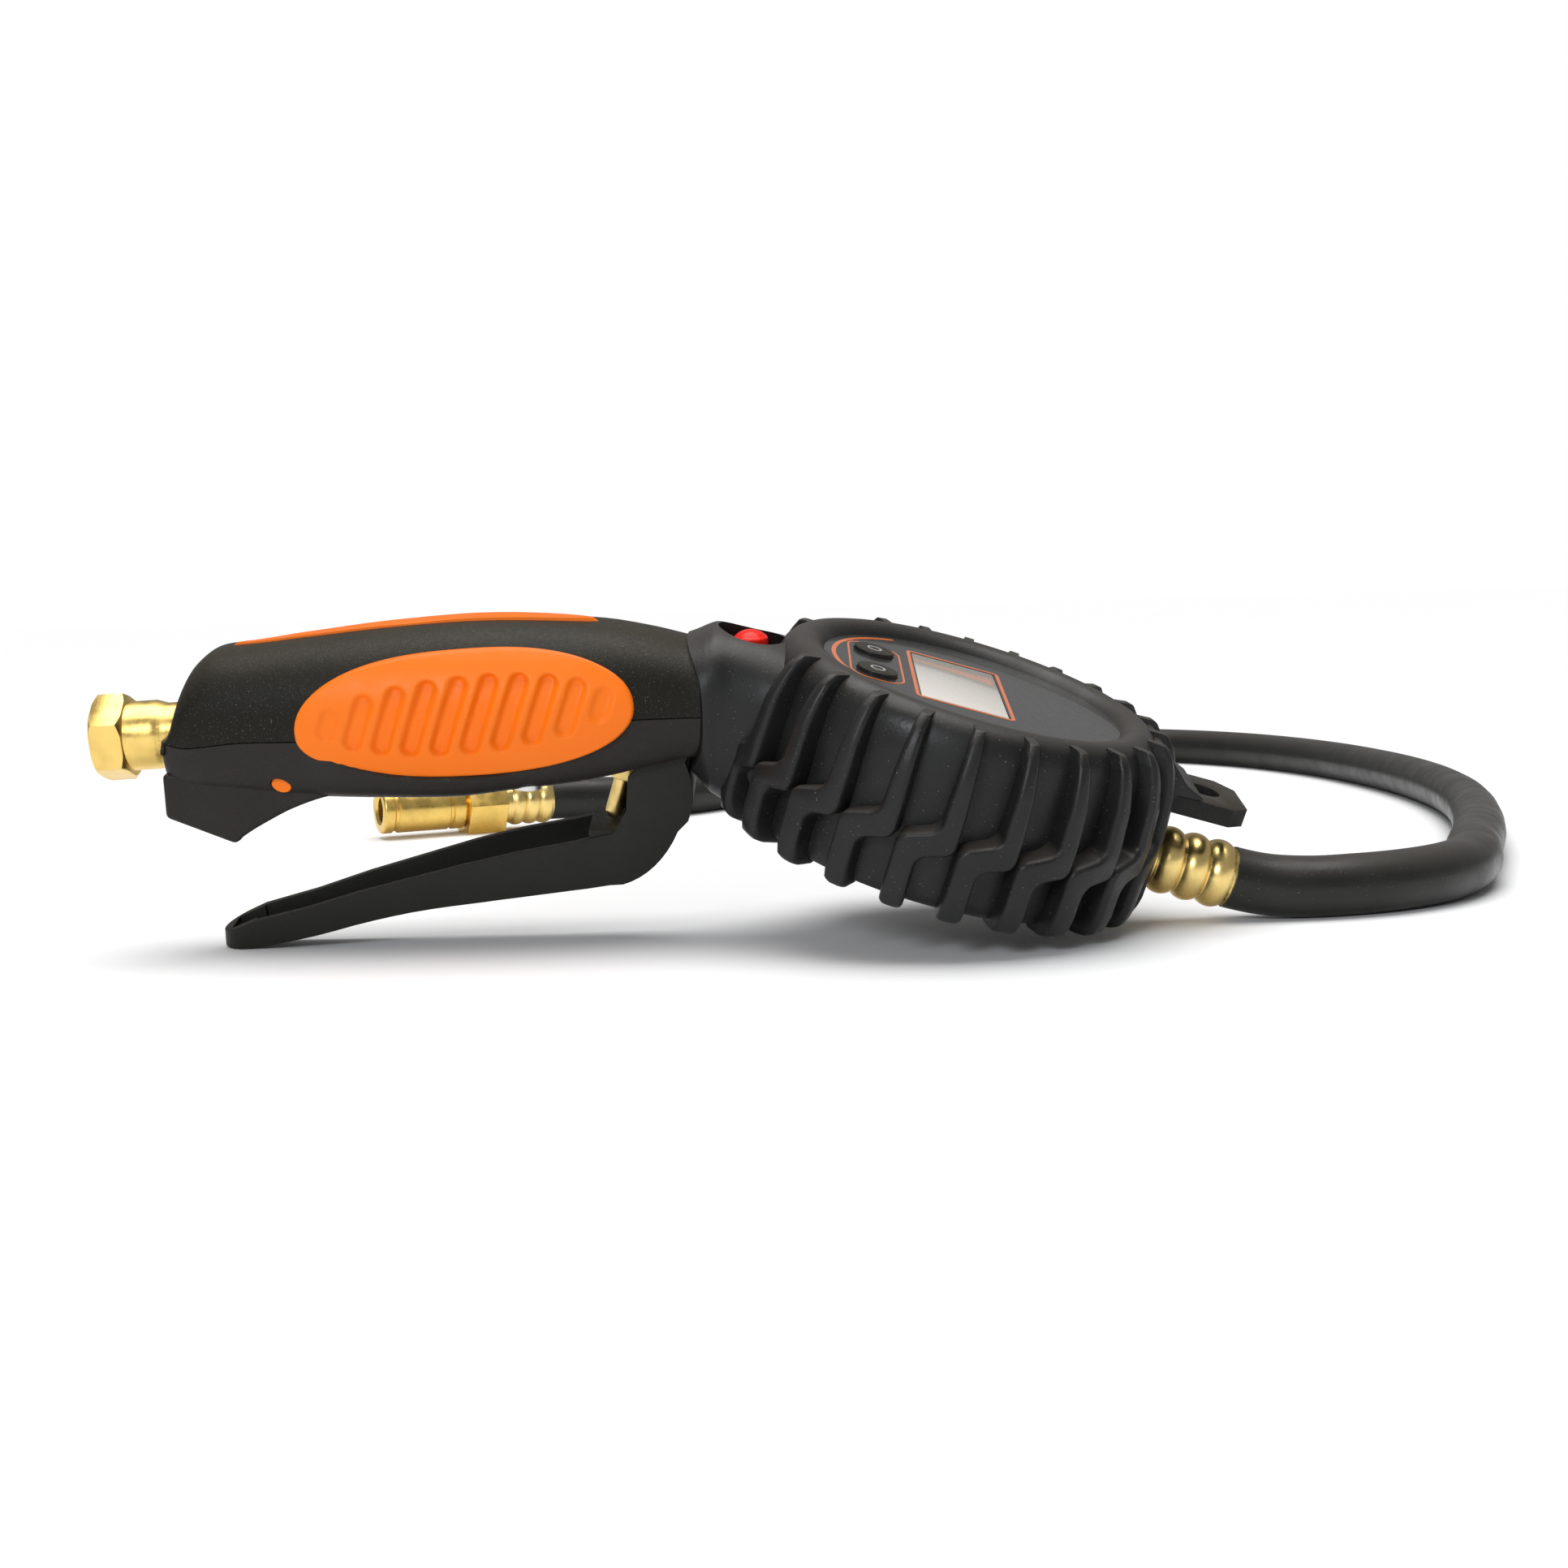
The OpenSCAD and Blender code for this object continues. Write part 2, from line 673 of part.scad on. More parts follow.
// Side outline of the lever below its walls, from the tip to the heel
lever_line = [
  [0, 0.3], [0.09, 1.5], [0.2, 4.4], [0.33, 8.2], [0.47, 11.4], [0.62, 13.6], [0.76, 15.2], [0.87, 16.4], [1, 18.4]
];
function lever_bottom(x) = curve(lever_line, (x - tip_x) / (-7 - tip_x));
heel_centre = [-14, 42.6];
heel_rx = 18.6;
heel_rz = 25.6;
module lever_side() {
  polygon(concat(
    [for (i = [0:20]) let (x = tip_x + i * (-13 - tip_x) / 20) [x, lever_bottom(x)]],
    [for (a = [-78:6:0]) [heel_centre[0] + heel_rx * cos(a), heel_centre[1] + heel_rz * sin(a)]],
    [[heel_x, 42.6], [pivot_x + 3, pivot_z + 1], [pivot_x - 3, pivot_z + 1], [-8.6, 42], [-9.2, 34],
     [-12, 29.4]],
    [for (i = [0:6]) let (x = -21 - i * 12) [x, lever_bottom(x) + 11 - i * 0.72]],
    [[tip_x, 4.4]]
  ));
}
module lever_hollow() {
  f = floor_thickness;
  polygon(concat(
    [for (i = [1:12]) let (x = tip_x + 1.5 + i * (-14 - tip_x) / 12) [x, lever_bottom(x) + f]],
    [for (a = [-60:15:0]) [heel_centre[0] + (heel_rx - f) * cos(a), heel_centre[1] + (heel_rz - f) * sin(a)]],
    [[heel_x - f, 70], [tip_x + 1, 70]]
  ));
}
module lever_plan() {
  tip_r = lever_tip_width / 2;
  union() {
    translate([tip_x + tip_r, 0]) circle(r = tip_r);
    polygon([
      [tip_x + tip_r, -tip_r], [tip_x + 60, -lever_width / 2], [20, -lever_width / 2],
      [20, lever_width / 2], [tip_x + 60, lever_width / 2], [tip_x + tip_r, tip_r]
    ]);
  }
}
module lever_plan_inner() {
  tip_r = lever_tip_width / 2 - lever_wall;
  union() {
    translate([tip_x + tip_r + lever_wall, 0]) circle(r = tip_r);
    polygon([
      [tip_x + tip_r + lever_wall, -tip_r], [tip_x + 60, lever_wall - lever_width / 2],
      [20, lever_wall - lever_width / 2], [20, lever_width / 2 - lever_wall],
      [tip_x + 60, lever_width / 2 - lever_wall], [tip_x + tip_r + lever_wall, tip_r]
    ]);
  }
}
module lever() {
  color([0.04, 0.04, 0.045]) lying() difference() {
    union() {
      intersection() {
        difference() {
          rotate([90, 0, 0]) linear_extrude(height = 40, center = true) lever_side();
          intersection() {
            rotate([90, 0, 0]) linear_extrude(height = 40, center = true) lever_hollow();
            linear_extrude(height = 80) lever_plan_inner();
          }
        }
        linear_extrude(height = 80) lever_plan();
      }
      // Pivot eyes
      for (y = [-1, 1]) translate([pivot_x, y * (lever_width - lever_wall) / 2, pivot_z]) rotate([90, 0, 0])
        cylinder(h = lever_wall, r = pivot_boss_r, center = true);
      // Striker under the stem's foot
      translate([stem_x - 4.5, -lever_width / 2 + lever_wall / 2, lever_bottom(stem_x) + 1])
        cube([7, lever_width - lever_wall, striker_top - lever_bottom(stem_x) - 1]);
    }
    translate([pivot_x, 0, pivot_z]) rotate([90, 0, 0])
      cylinder(h = 40, r = lever_pin_d / 2 + running, center = true);
    // Room between the arms for the valve body
    translate([-15, lever_wall - lever_width / 2, pivot_z - 5]) cube([30, lever_width - 2 * lever_wall, 20]);
  }
}
module lever_pin() {
  color([0.75, 0.75, 0.77]) lying() translate([pivot_x, 0, pivot_z]) rotate([90, 0, 0])
    cylinder(h = pin_length - 0.2, r = lever_pin_d / 2, center = true);
}

// ---------- bleed valve ----------

module bleed_button() {
  low = button_top - button_height;
  disc = bleed_seal_z - bleed_seal_r - 0.05 - 1.2;
  color([0.9, 0.03, 0.03]) lying() translate([button_x, 0, 0]) {
    translate([0, 0, low]) cylinder(h = button_height - 2.4, r = button_d / 2);
    translate([0, 0, button_top - 2.4]) intersection() {
      cylinder(h = 4, r = button_d / 2);
      translate([0, 0, 2.4 - button_d * 0.65]) sphere(r = button_d * 0.65);
    }
    translate([0, 0, disc]) cylinder(h = low + 0.5 - disc, r = bleed_stem_r);
    translate([0, 0, disc]) cylinder(h = 1.2, r = 2.5);
  }
}
module bleed_spring() {
  color([0.7, 0.7, 0.72]) lying() translate([button_x, 0, bleed_seat_z + 0.05])
    ring(2.9, 2.2, button_top - button_height - bleed_seat_z - 0.1);
}
module bleed_seal() {
  color([0.03, 0.03, 0.03]) lying() translate([button_x, 0, bleed_seal_z]) rotate_extrude()
    translate([bleed_stem_r + running + bleed_seal_r, 0]) circle(r = bleed_seal_r);
}

// ---------- gauge ----------

module drum_profile() {
  r = boot_d / 2;
  corner = 5;
  bead = 2.6;
  rim_half = (r - taper - window_d / 2) / 2;
  rim_x = window_d / 2 + rim_half;
  polygon(concat(
    [[0, drum_bottom], [r - corner, drum_bottom]],
    [for (a = [-75:15:0]) [r - corner + corner * cos(a), drum_bottom + corner + corner * sin(a)]],
    [[r, taper_h]],
    [for (a = [0:20:180])
      [rim_x + rim_half * cos(a), boot_height - bead + bead * sin(a)]],
    [[window_d / 2, lip_under], [0, lip_under]]
  ));
}
module rib_profile() {
  r = boot_d / 2 + rib_height;
  polygon([
    [boot_d / 2 - 5.5, drum_bottom + 1], [boot_d / 2 - 4.5, 0], [r - 3.6, 0], [r - 1, 1.4], [r, 5],
    [r, 21.5], [r - 3, 33], [boot_d / 2 - taper + 0.3, 38.6],
    [boot_d / 2 - taper - 0.8, 37.6], [boot_d / 2 - 0.8, taper_h], [boot_d / 2 - 0.8, 7]
  ]);
}
// One tread rib at the +X side: a thin fin above, a sideways step, and a wide lug below
module tread_rib() {
  w = lug_width / 2;
  fin = 1.7;
  intersection() {
    rotate([0, 0, -20]) rotate_extrude(angle = 32) rib_profile();
    rotate([90, 0, 90]) linear_extrude(height = 60)
      polygon([
        [-rib_step - w, -1], [-rib_step + w, -1], [-rib_step + w, 14.6], [fin, 16.8], [fin, 27.5],
        [0.5, 39], [-0.5, 39], [-fin, 27.5], [-fin, 22.6], [-rib_step - w, 19.6]
      ]);
  }
}
module treads() {
  pitch = 360 / rib_count;
  for (i = [0:rib_count - 1]) {
    a = tread_phase + i * pitch;
    if (abs(a - 180) > neck_keepout) rotate([0, 0, a]) tread_rib();
  }
}
// Sections of the rubber neck, from the handle to the boot
neck_line = [
  // x, half width, top, bottom
  [front_x + 0.1, 16.9, 74.2, 41], [front_x + 2.5, 16.9, 75.2, 37.6], [front_x + 5, 16.6, 75.4, 36.8],
  [front_x + 9, 17, 74.4, 34], [front_x + 14, 20, 72.6, 33], [front_x + 19, 24, 70.6, 31.5],
  [front_x + 24, 27, 68.8, 30.5]
];
module neck(inset, first, last) {
  loft([
    for (i = [first:last])
      let (
        n = neck_line[i], c = (n[2] + n[3]) / 2, h = (n[2] - n[3]) / 2 - inset,
        x = n[0] + (i == 0 && inset > 0 ? -1 : 0)
      )
      [for (j = [0:19]) [x, (n[1] - inset) * spow(cos(j * 18), 0.8), c + h * spow(sin(j * 18), 0.8)]]
  ]);
}
// Long well round the bleed button
module well_space(grow) {
  r = well_r + grow;
  translate([well_x, 0, well_floor - grow]) linear_extrude(height = 30)
    polygon([for (e = [-1, 1]) for (a = [-90:18:90]) [e * (well_half + r * cos(a)), e * r * sin(a)]]);
}
module rubber_boot() {
  color([0.04, 0.04, 0.042]) lying() difference() {
    union() {
      translate([gauge_x, 0, gauge_z]) rotate([0, gauge_tilt, 0]) {
        rotate_extrude() drum_profile();
        treads();
      }
      difference() {
        neck(0, 0, 6);
        well_space(0);
      }
    }
    translate([gauge_x, 0, gauge_z]) rotate([0, gauge_tilt, 0]) {
      // Room for the case, the window, the back opening, the hanger tab and the hose outlet
      rotate_extrude() case_outline(gap);
      translate([0, 0, lip_under - 0.2]) cylinder(h = 20, r = window_d / 2);
      translate([0, 0, -1]) cylinder(h = case_bottom + 2, r = cover_r + 2 * gap);
      translate([30, -hanger_width / 2 - gap, hanger_h - gap])
        cube([40, hanger_width + 2 * gap, hanger_thickness + 2 * gap]);
      on_outlet(30) cylinder(h = 40, r = 6.2);
      on_outlet(socket_x) cylinder(h = 12, r = manifold_r + gap);
    }
    difference() {
      neck(3.2, 0, 4);
      well_space(1.6);
    }
    valve_outline(gap);
    translate([button_x, 0, bleed_boss_top - 2]) cylinder(h = 30, r = button_d / 2 + 1.2);
  }
}
// Outline of the gauge case, grown by a clearance
module case_outline(grow) {
  polygon([
    [0, case_bottom - grow], [case_r + grow, case_bottom - grow], [case_r + grow, taper_h],
    [case_r - taper + grow, case_top], [case_r - taper + grow, lip_under], [0, lip_under]
  ]);
}
module gauge_case() {
  top_in = case_r - taper - case_wall;
  color([0.06, 0.06, 0.065]) in_gauge() difference() {
    union() {
      rotate_extrude() polygon([
        [0, case_bottom], [case_r, case_bottom], [case_r, taper_h], [case_r - taper, case_top],
        [top_in, case_top], [case_r - case_wall, taper_h], [case_r - case_wall, case_bottom + 2.2],
        [0, case_bottom + 2.2]
      ]);
      intersection() {
        translate([case_r - 3, -hanger_width / 2, hanger_h])
          cube([hanger_reach - case_r + 3, hanger_width, hanger_thickness]);
        // Chamfered end of the tab
        translate([0, 0, hanger_h - 1]) linear_extrude(height = hanger_thickness + 2) polygon([
          [0, -40], [hanger_reach - 4, -hanger_width / 2 - 0.01], [hanger_reach, 4 - hanger_width / 2],
          [hanger_reach, hanger_width / 2 - 4], [hanger_reach - 4, hanger_width / 2 + 0.01], [0, 40]
        ]);
      }
      for (a = [-1, 1]) for (b = [0, 180]) rotate([0, 0, a * cover_screw_angle + b])
        translate([cover_screw_r, 0, case_bottom + 1]) cylinder(h = 9, r = 3);
      // Posts that carry the circuit board
      for (a = [45:90:315]) rotate([0, 0, a]) translate([board_r - 1, 0, case_bottom + 1])
        cylinder(h = board_h - case_bottom - 1.1, r = 2);
    }
    translate([hanger_hole_x, 0, 0]) cylinder(h = 60, r = hanger_hole_d / 2);
    for (y = [-1, 1]) translate([-battery_length / 2 - 1.2, y * battery_y - battery_d / 2 - gap, 0])
      cube([battery_length + 2.4, battery_d + 2 * gap, 9]);
    on_outlet(-60) cylinder(h = 120, r = manifold_r + gap);
    for (a = [-1, 1]) for (b = [0, 180]) rotate([0, 0, a * cover_screw_angle + b])
      translate([cover_screw_r, 0, 0]) cylinder(h = 13, r = 1.2 + running);
  }
}
module back_cover() {
  low = case_bottom - 0.1 - cover_thickness;
  color([0.06, 0.06, 0.065]) in_gauge() difference() {
    translate([0, 0, low]) cylinder(h = cover_thickness, r = cover_r);
    for (a = [-1, 1]) for (b = [0, 180]) rotate([0, 0, a * cover_screw_angle + b])
      translate([cover_screw_r, 0, 0]) {
        cylinder(h = 13, r = 1.2 + gap);
        cylinder(h = low + 1.2, r = 2.4 + gap);
      }
    // Finger notch for lifting the cover
    translate([0, cover_r, low - 0.6]) cylinder(h = 1.6, r = 5);
  }
}
module cover_screws() {
  low = case_bottom - 0.1 - cover_thickness;
  color([0.55, 0.55, 0.57]) in_gauge() for (a = [-1, 1]) for (b = [0, 180])
    rotate([0, 0, a * cover_screw_angle + b]) translate([cover_screw_r, 0, low + 0.1]) {
      cylinder(h = 1, r = 2.4);
      cylinder(h = 9, r = 1.2);
    }
}
module batteries() {
  color([0.75, 0.75, 0.3]) in_gauge() for (y = [-1, 1]) translate([0, y * battery_y, battery_h])
    rotate([0, y * 90, 0]) {
      translate([0, 0, -battery_length / 2]) cylinder(h = battery_length - 0.9, r = battery_d / 2);
      translate([0, 0, battery_length / 2 - 1]) cylinder(h = 1, r = 1.9);
    }
}
module battery_contacts() {
  color([0.8, 0.8, 0.82]) in_gauge() for (y = [-1, 1]) for (x = [-1, 1])
    translate([x * (battery_length / 2 + 0.45), y * battery_y, case_bottom + 6.5])
      cube([0.6, 8, 8], center = true);
}
module manifold() {
  color([0.72, 0.72, 0.74]) in_gauge() difference() {
    union() {
      on_outlet(-41.4) cylinder(h = 79.4, r = manifold_r);
      on_outlet(socket_x + 2.4) cylinder(h = 8, r = manifold_spigot_r);
      translate([-8, 0, outlet_h]) cylinder(h = 8, r = 4);
    }
    on_outlet(-60) cylinder(h = 120, r = 2);
    on_outlet(30) cylinder(h = 20, r = 3.2 + running);
    translate([-8, 0, outlet_h]) cylinder(h = 20, r = 1);
  }
}
module pressure_sensor() {
  color([0.85, 0.85, 0.87]) in_gauge() translate([-8, 0, outlet_h + 8.05])
    cylinder(h = board_h - outlet_h - 8.15, r = 4.5);
}
module circuit_board() {
  color([0.05, 0.3, 0.12]) in_gauge() translate([0, 0, board_h]) cylinder(h = board_thickness, r = board_r);
}
module at_keys() {
  for (y = [-1, 1]) translate([key_x, y * key_y, 0]) children();
}
module key_switches() {
  top = board_h + board_thickness + 4.5;
  color([0.75, 0.75, 0.78]) in_gauge() at_keys() {
    translate([-3, -3, board_h + board_thickness]) cube([6, 6, 3.5]);
    translate([0, 0, top - 1.2]) cylinder(h = 1.2, r = 1.7);
  }
}
module display_module() {
  color([0.5, 0.52, 0.5]) in_gauge() translate([display_x, 0, (board_h + board_thickness + case_top) / 2])
    cube([display_w + 5, display_l + 6, case_top - board_h - board_thickness - 0.1], center = true);
}
module face_plate() {
  color([0.12, 0.12, 0.13]) in_gauge() difference() {
    translate([0, 0, case_top]) cylinder(h = face_thickness, r = face_r);
    translate([display_x, 0, case_top]) cube([display_w, display_l, 5], center = true);
    at_keys() cylinder(h = 60, r = key_d / 2 + gap);
  }
}
module display_window() {
  color([0.7, 0.73, 0.7, 0.5]) in_gauge() translate([display_x, 0, case_top + face_thickness / 2])
    cube([display_w - 0.1, display_l - 0.1, face_thickness - 0.1], center = true);
}
module key(y) {
  foot = board_h + board_thickness + 4.5 + key_travel + 0.1;
  color([0.16, 0.16, 0.17]) in_gauge() translate([key_x, y * key_y, 0]) {
    translate([0, 0, case_top - 0.5]) cylinder(h = face_thickness + 0.8, r = key_d / 2);
    translate([0, 0, case_top - 1.1]) cylinder(h = 1, r = key_d / 2 + 0.8);
    translate([0, 0, foot]) cylinder(h = case_top - 1 - foot, r = 1.5);
  }
}
module power_key() {
  key(-1);
}
module unit_key() {
  key(1);
}

// ---------- hose and chuck ----------

// Distance of the outlet's pieces from the gauge's axis
collar_end = boot_d / 2 + rib_height + 0.2;
module hose_nipple() {
  color([0.78, 0.6, 0.2]) in_gauge() difference() {
    union() {
      on_outlet(31) cylinder(h = 12, r = 3.2);
      on_outlet(case_r + 0.4) cylinder(h = collar_end - case_r - 0.4, r = 6);
      on_outlet(collar_end - 0.5) cylinder(h = ferrule_length - 2, r = 3.6);
    }
    on_outlet(20) cylinder(h = 60, r = 2);
  }
}
module ferrule_profile(length, bore, crown) {
  base = crown - 1.5;
  bead = length / 4.4;
  union() {
    translate([bore, 0]) square([base - bore, length]);
    for (i = [0:2]) translate([crown - bead * 0.52, length * (0.17 + i * 0.3)]) circle(r = bead * 0.52);
  }
}
module hose_ferrule() {
  color([0.8, 0.62, 0.22]) in_gauge() on_outlet(collar_end + 0.02) rotate_extrude()
    ferrule_profile(ferrule_length, 3.6 + running, ferrule_d / 2);
}
function unit(v) = v / norm(v);
// Centre line of the hose: from the ferrule's end, along the ground, to the chuck's ferrule
hose_exit = laid(from_gauge([collar_end + ferrule_length + 0.05, 0, outlet_h]));
hose_exit_dir = laid(from_gauge([1, 0, 0])) - laid(from_gauge([0, 0, 0]));
hose_path = concat(
  [hose_exit, hose_exit + 5 * hose_exit_dir],
  hose_route,
  [chuck_end - 9 * heading(chuck_heading), chuck_end]
);
function path_dir(p, i) =
  i == 0 ? hose_exit_dir : i == len(p) - 1 ? heading(chuck_heading) : unit(p[i + 1] - p[i - 1]);
function hose_ring(p, i) =
  let (d = path_dir(p, i), side = unit(cross([0, 0, 1], d)), up = cross(d, side))
  [for (j = [0:hose_sides - 1])
    let (a = (j + 0.5) * 360 / hose_sides)
    p[i] + hose_r / cos(180 / hose_sides) * (cos(a) * side + sin(a) * up)];
module hose() {
  color([0.06, 0.06, 0.065]) loft([for (i = [0:len(hose_path) - 1]) hose_ring(hose_path, i)]);
}
chuck_ferrule_length = 17;
chuck_nut_length = 13;
module chuck_ferrule() {
  color([0.8, 0.62, 0.22]) on_chuck(0.02) rotate_extrude()
    ferrule_profile(chuck_ferrule_length, 3.4, ferrule_d / 2 - 0.6);
}
module chuck_nut() {
  color([0.8, 0.62, 0.22]) difference() {
    union() {
      on_chuck(2) cylinder(h = chuck_ferrule_length, r = 3.35);
      on_chuck(chuck_ferrule_length + 0.1) rotate([0, 0, 30])
        cylinder(h = chuck_nut_length, r = chuck_hex / sqrt(3), $fn = 6);
      on_chuck(chuck_ferrule_length + chuck_nut_length) cylinder(h = 7, r = 5);
    }
    on_chuck(0) cylinder(h = 60, r = 2);
  }
}
module chuck_barrel() {
  start = chuck_ferrule_length + chuck_nut_length + 0.15;
  color([0.8, 0.62, 0.22]) difference() {
    on_chuck(start) cylinder(h = chuck_length, r = chuck_d / 2);
    on_chuck(start - 1) cylinder(h = 8, r = 5 + running);
    on_chuck(start + 5) cylinder(h = 10.5, r = 5.4);
    on_chuck(start + 14) cylinder(h = chuck_length, r = chuck_bore_d / 2);
    on_chuck(start + 15.4) cylinder(h = 1.6, r = chuck_bore_d / 2 + 0.5);
  }
}
chuck_seal_at = chuck_ferrule_length + chuck_nut_length + 0.15 + 12.4;
module chuck_seal() {
  color([0.03, 0.03, 0.03]) on_chuck(chuck_seal_at) ring(5.3, 2.2, 3);
}
module chuck_pin() {
  color([0.8, 0.62, 0.22]) {
    on_chuck(chuck_seal_at - 1.6) cylinder(h = 6, r = 1.4);
    on_chuck(chuck_seal_at - 1.6) cylinder(h = 1.4, r = 3.6);
  }
}
module chuck_spring() {
  from = chuck_ferrule_length + chuck_nut_length + 7.1;
  color([0.7, 0.7, 0.72]) on_chuck(from) ring(3.4, 2.8, chuck_seal_at - 1.65 - from);
}

handle_upper_shell();
handle_lower_shell();
grip_pad_near();
grip_pad_far();
top_strip();
side_plugs();
shell_screws();
inlet_fitting();
inlet_filter();
air_tube();
valve_body();
valve_cap();
gland_nut();
stem_seal();
valve_stem();
valve_spring();
lever();
lever_pin();
bleed_button();
bleed_spring();
bleed_seal();
rubber_boot();
gauge_case();
back_cover();
cover_screws();
batteries();
battery_contacts();
manifold();
pressure_sensor();
circuit_board();
key_switches();
display_module();
face_plate();
display_window();
power_key();
unit_key();
hose_nipple();
hose_ferrule();
hose();
chuck_ferrule();
chuck_nut();
chuck_barrel();
chuck_seal();
chuck_pin();
chuck_spring();
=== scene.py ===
import math

import bmesh
import bpy
from mathutils import Matrix, Vector


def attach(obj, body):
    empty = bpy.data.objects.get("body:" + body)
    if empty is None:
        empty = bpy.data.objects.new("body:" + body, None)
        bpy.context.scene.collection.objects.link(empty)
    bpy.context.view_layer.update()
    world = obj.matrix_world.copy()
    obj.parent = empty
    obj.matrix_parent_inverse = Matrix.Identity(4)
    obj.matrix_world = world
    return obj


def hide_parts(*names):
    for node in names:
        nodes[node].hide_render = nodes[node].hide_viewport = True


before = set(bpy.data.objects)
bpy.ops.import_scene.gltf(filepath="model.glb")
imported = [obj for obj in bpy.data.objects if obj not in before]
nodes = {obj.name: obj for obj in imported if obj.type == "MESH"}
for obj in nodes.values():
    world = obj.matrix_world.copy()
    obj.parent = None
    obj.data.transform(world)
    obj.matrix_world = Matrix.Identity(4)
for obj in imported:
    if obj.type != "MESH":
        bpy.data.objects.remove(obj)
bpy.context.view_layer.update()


# ---------- places ----------

def turn(axis, degrees):
    return Matrix.Rotation(math.radians(degrees), 4, axis)


def shift(x, y, z):
    return Matrix.Translation((x, y, z))


def way(place):
    """The direction in which a frame's Z axis points on the bench."""
    return (place.to_3x3() @ Vector((0, 0, 1))).normalized()


# Each frame takes millimetres in a piece's own drawing to metres on the bench
MM = Matrix.Scale(0.001, 4)
GUN = MM @ shift(-2.74, 7.43, -2.19) @ turn("Y", 1.6) @ turn("X", 12)
GAUGE = GUN @ shift(58.2, 0, 23) @ turn("Y", 15.5)
DRUM = GAUGE @ shift(-2, 0, -1.1) @ Matrix.Diagonal((1.025, 1.025, 1, 1))
OUTLET = GAUGE @ shift(0, 0, 11) @ turn("Y", 90)
REAR_X = -108
CHUCK = MM @ shift(-57, 244, 9.5) @ turn("Z", 206) @ turn("Y", 90)

# ---------- camera ----------

camera_data = bpy.data.cameras.new("camera")
camera_data.lens = 48.447
camera_data.sensor_width = 36
camera_data.clip_end = 50
camera = bpy.data.objects.new("camera", camera_data)
bpy.context.scene.collection.objects.link(camera)
camera.matrix_world = shift(0.02466, -0.46597, 0.07527) @ turn("Y", 1.6) @ turn("X", 90 - 5.077)
bpy.context.scene.camera = camera


# ---------- finishes ----------

class Finish:
    """A material built up in layers on Object coordinates."""

    def __init__(self, name, colour, roughness, metallic=0.0, **sockets):
        self.material = bpy.data.materials.new(name)
        self.material.use_nodes = True
        self.tree = self.material.node_tree
        self.shader = self.tree.nodes["Principled BSDF"]
        self.shader.inputs["Base Color"].default_value = (*colour, 1)
        self.shader.inputs["Roughness"].default_value = roughness
        self.shader.inputs["Metallic"].default_value = metallic
        for socket, value in sockets.items():
            self.shader.inputs[socket.replace("_", " ")].default_value = value
        self.colour = (*colour, 1)
        self.coordinates = self.tree.nodes.new("ShaderNodeTexCoord").outputs["Object"]

    def node(self, kind, **settings):
        made = self.tree.nodes.new(kind)
        for key, value in settings.items():
            setattr(made, key, value)
        return made

    def link(self, a, b):
        self.tree.links.new(a, b)

    def placed(self, scale, rotation):
        """The coordinates stretched by scale and turned by rotation in degrees."""
        mapping = self.node("ShaderNodeMapping")
        mapping.inputs["Rotation"].default_value = [math.radians(r) for r in rotation]
        mapping.inputs["Scale"].default_value = scale
        self.link(self.coordinates, mapping.inputs["Vector"])
        return mapping.outputs["Vector"]

    def noise(self, scale, detail=2.0, roughness=0.5, at=None):
        noise = self.node("ShaderNodeTexNoise")
        noise.inputs["Scale"].default_value = scale
        noise.inputs["Detail"].default_value = detail
        noise.inputs["Roughness"].default_value = roughness
        self.link(at or self.coordinates, noise.inputs["Vector"])
        return noise.outputs["Fac"]

    def cells(self, scale):
        cells = self.node("ShaderNodeTexVoronoi")
        cells.inputs["Scale"].default_value = scale
        self.link(self.coordinates, cells.inputs["Vector"])
        return cells.outputs["Distance"]

    def upward(self):
        """1 where the surface looks up, 0 where it stands upright."""
        apart = self.node("ShaderNodeSeparateXYZ")
        self.link(self.node("ShaderNodeNewGeometry").outputs["Normal"], apart.inputs[0])
        return apart.outputs["Z"]

    def span(self, value, low, high, to_low=0.0, to_high=1.0):
        ranged = self.node("ShaderNodeMapRange")
        for key, number in zip(("From Min", "From Max", "To Min", "To Max"), (low, high, to_low, to_high)):
            ranged.inputs[key].default_value = number
        self.link(value, ranged.inputs["Value"])
        return ranged.outputs["Result"]

    def tint(self, mask, colour):
        """Lays a colour over what is there, as strong as the mask."""
        mix = self.node("ShaderNodeMix", data_type="RGBA")
        self.link(mask, mix.inputs["Factor"])
        socket = self.shader.inputs["Base Color"]
        if socket.is_linked:
            self.link(socket.links[0].from_socket, mix.inputs["A"])
        else:
            mix.inputs["A"].default_value = self.colour
        mix.inputs["B"].default_value = (*colour, 1)
        self.link(mix.outputs["Result"], socket)
        return self

    def gloss(self, value, low, high, rough_low, rough_high):
        self.link(self.span(value, low, high, rough_low, rough_high), self.shader.inputs["Roughness"])
        return self

    def bump(self, height, strength, distance):
        bump = self.node("ShaderNodeBump")
        bump.inputs["Strength"].default_value = strength
        bump.inputs["Distance"].default_value = distance
        self.link(height, bump.inputs["Height"])
        socket = self.shader.inputs["Normal"]
        if socket.is_linked:
            self.link(socket.links[0].from_socket, bump.inputs["Normal"])
        self.link(bump.outputs["Normal"], socket)
        return self


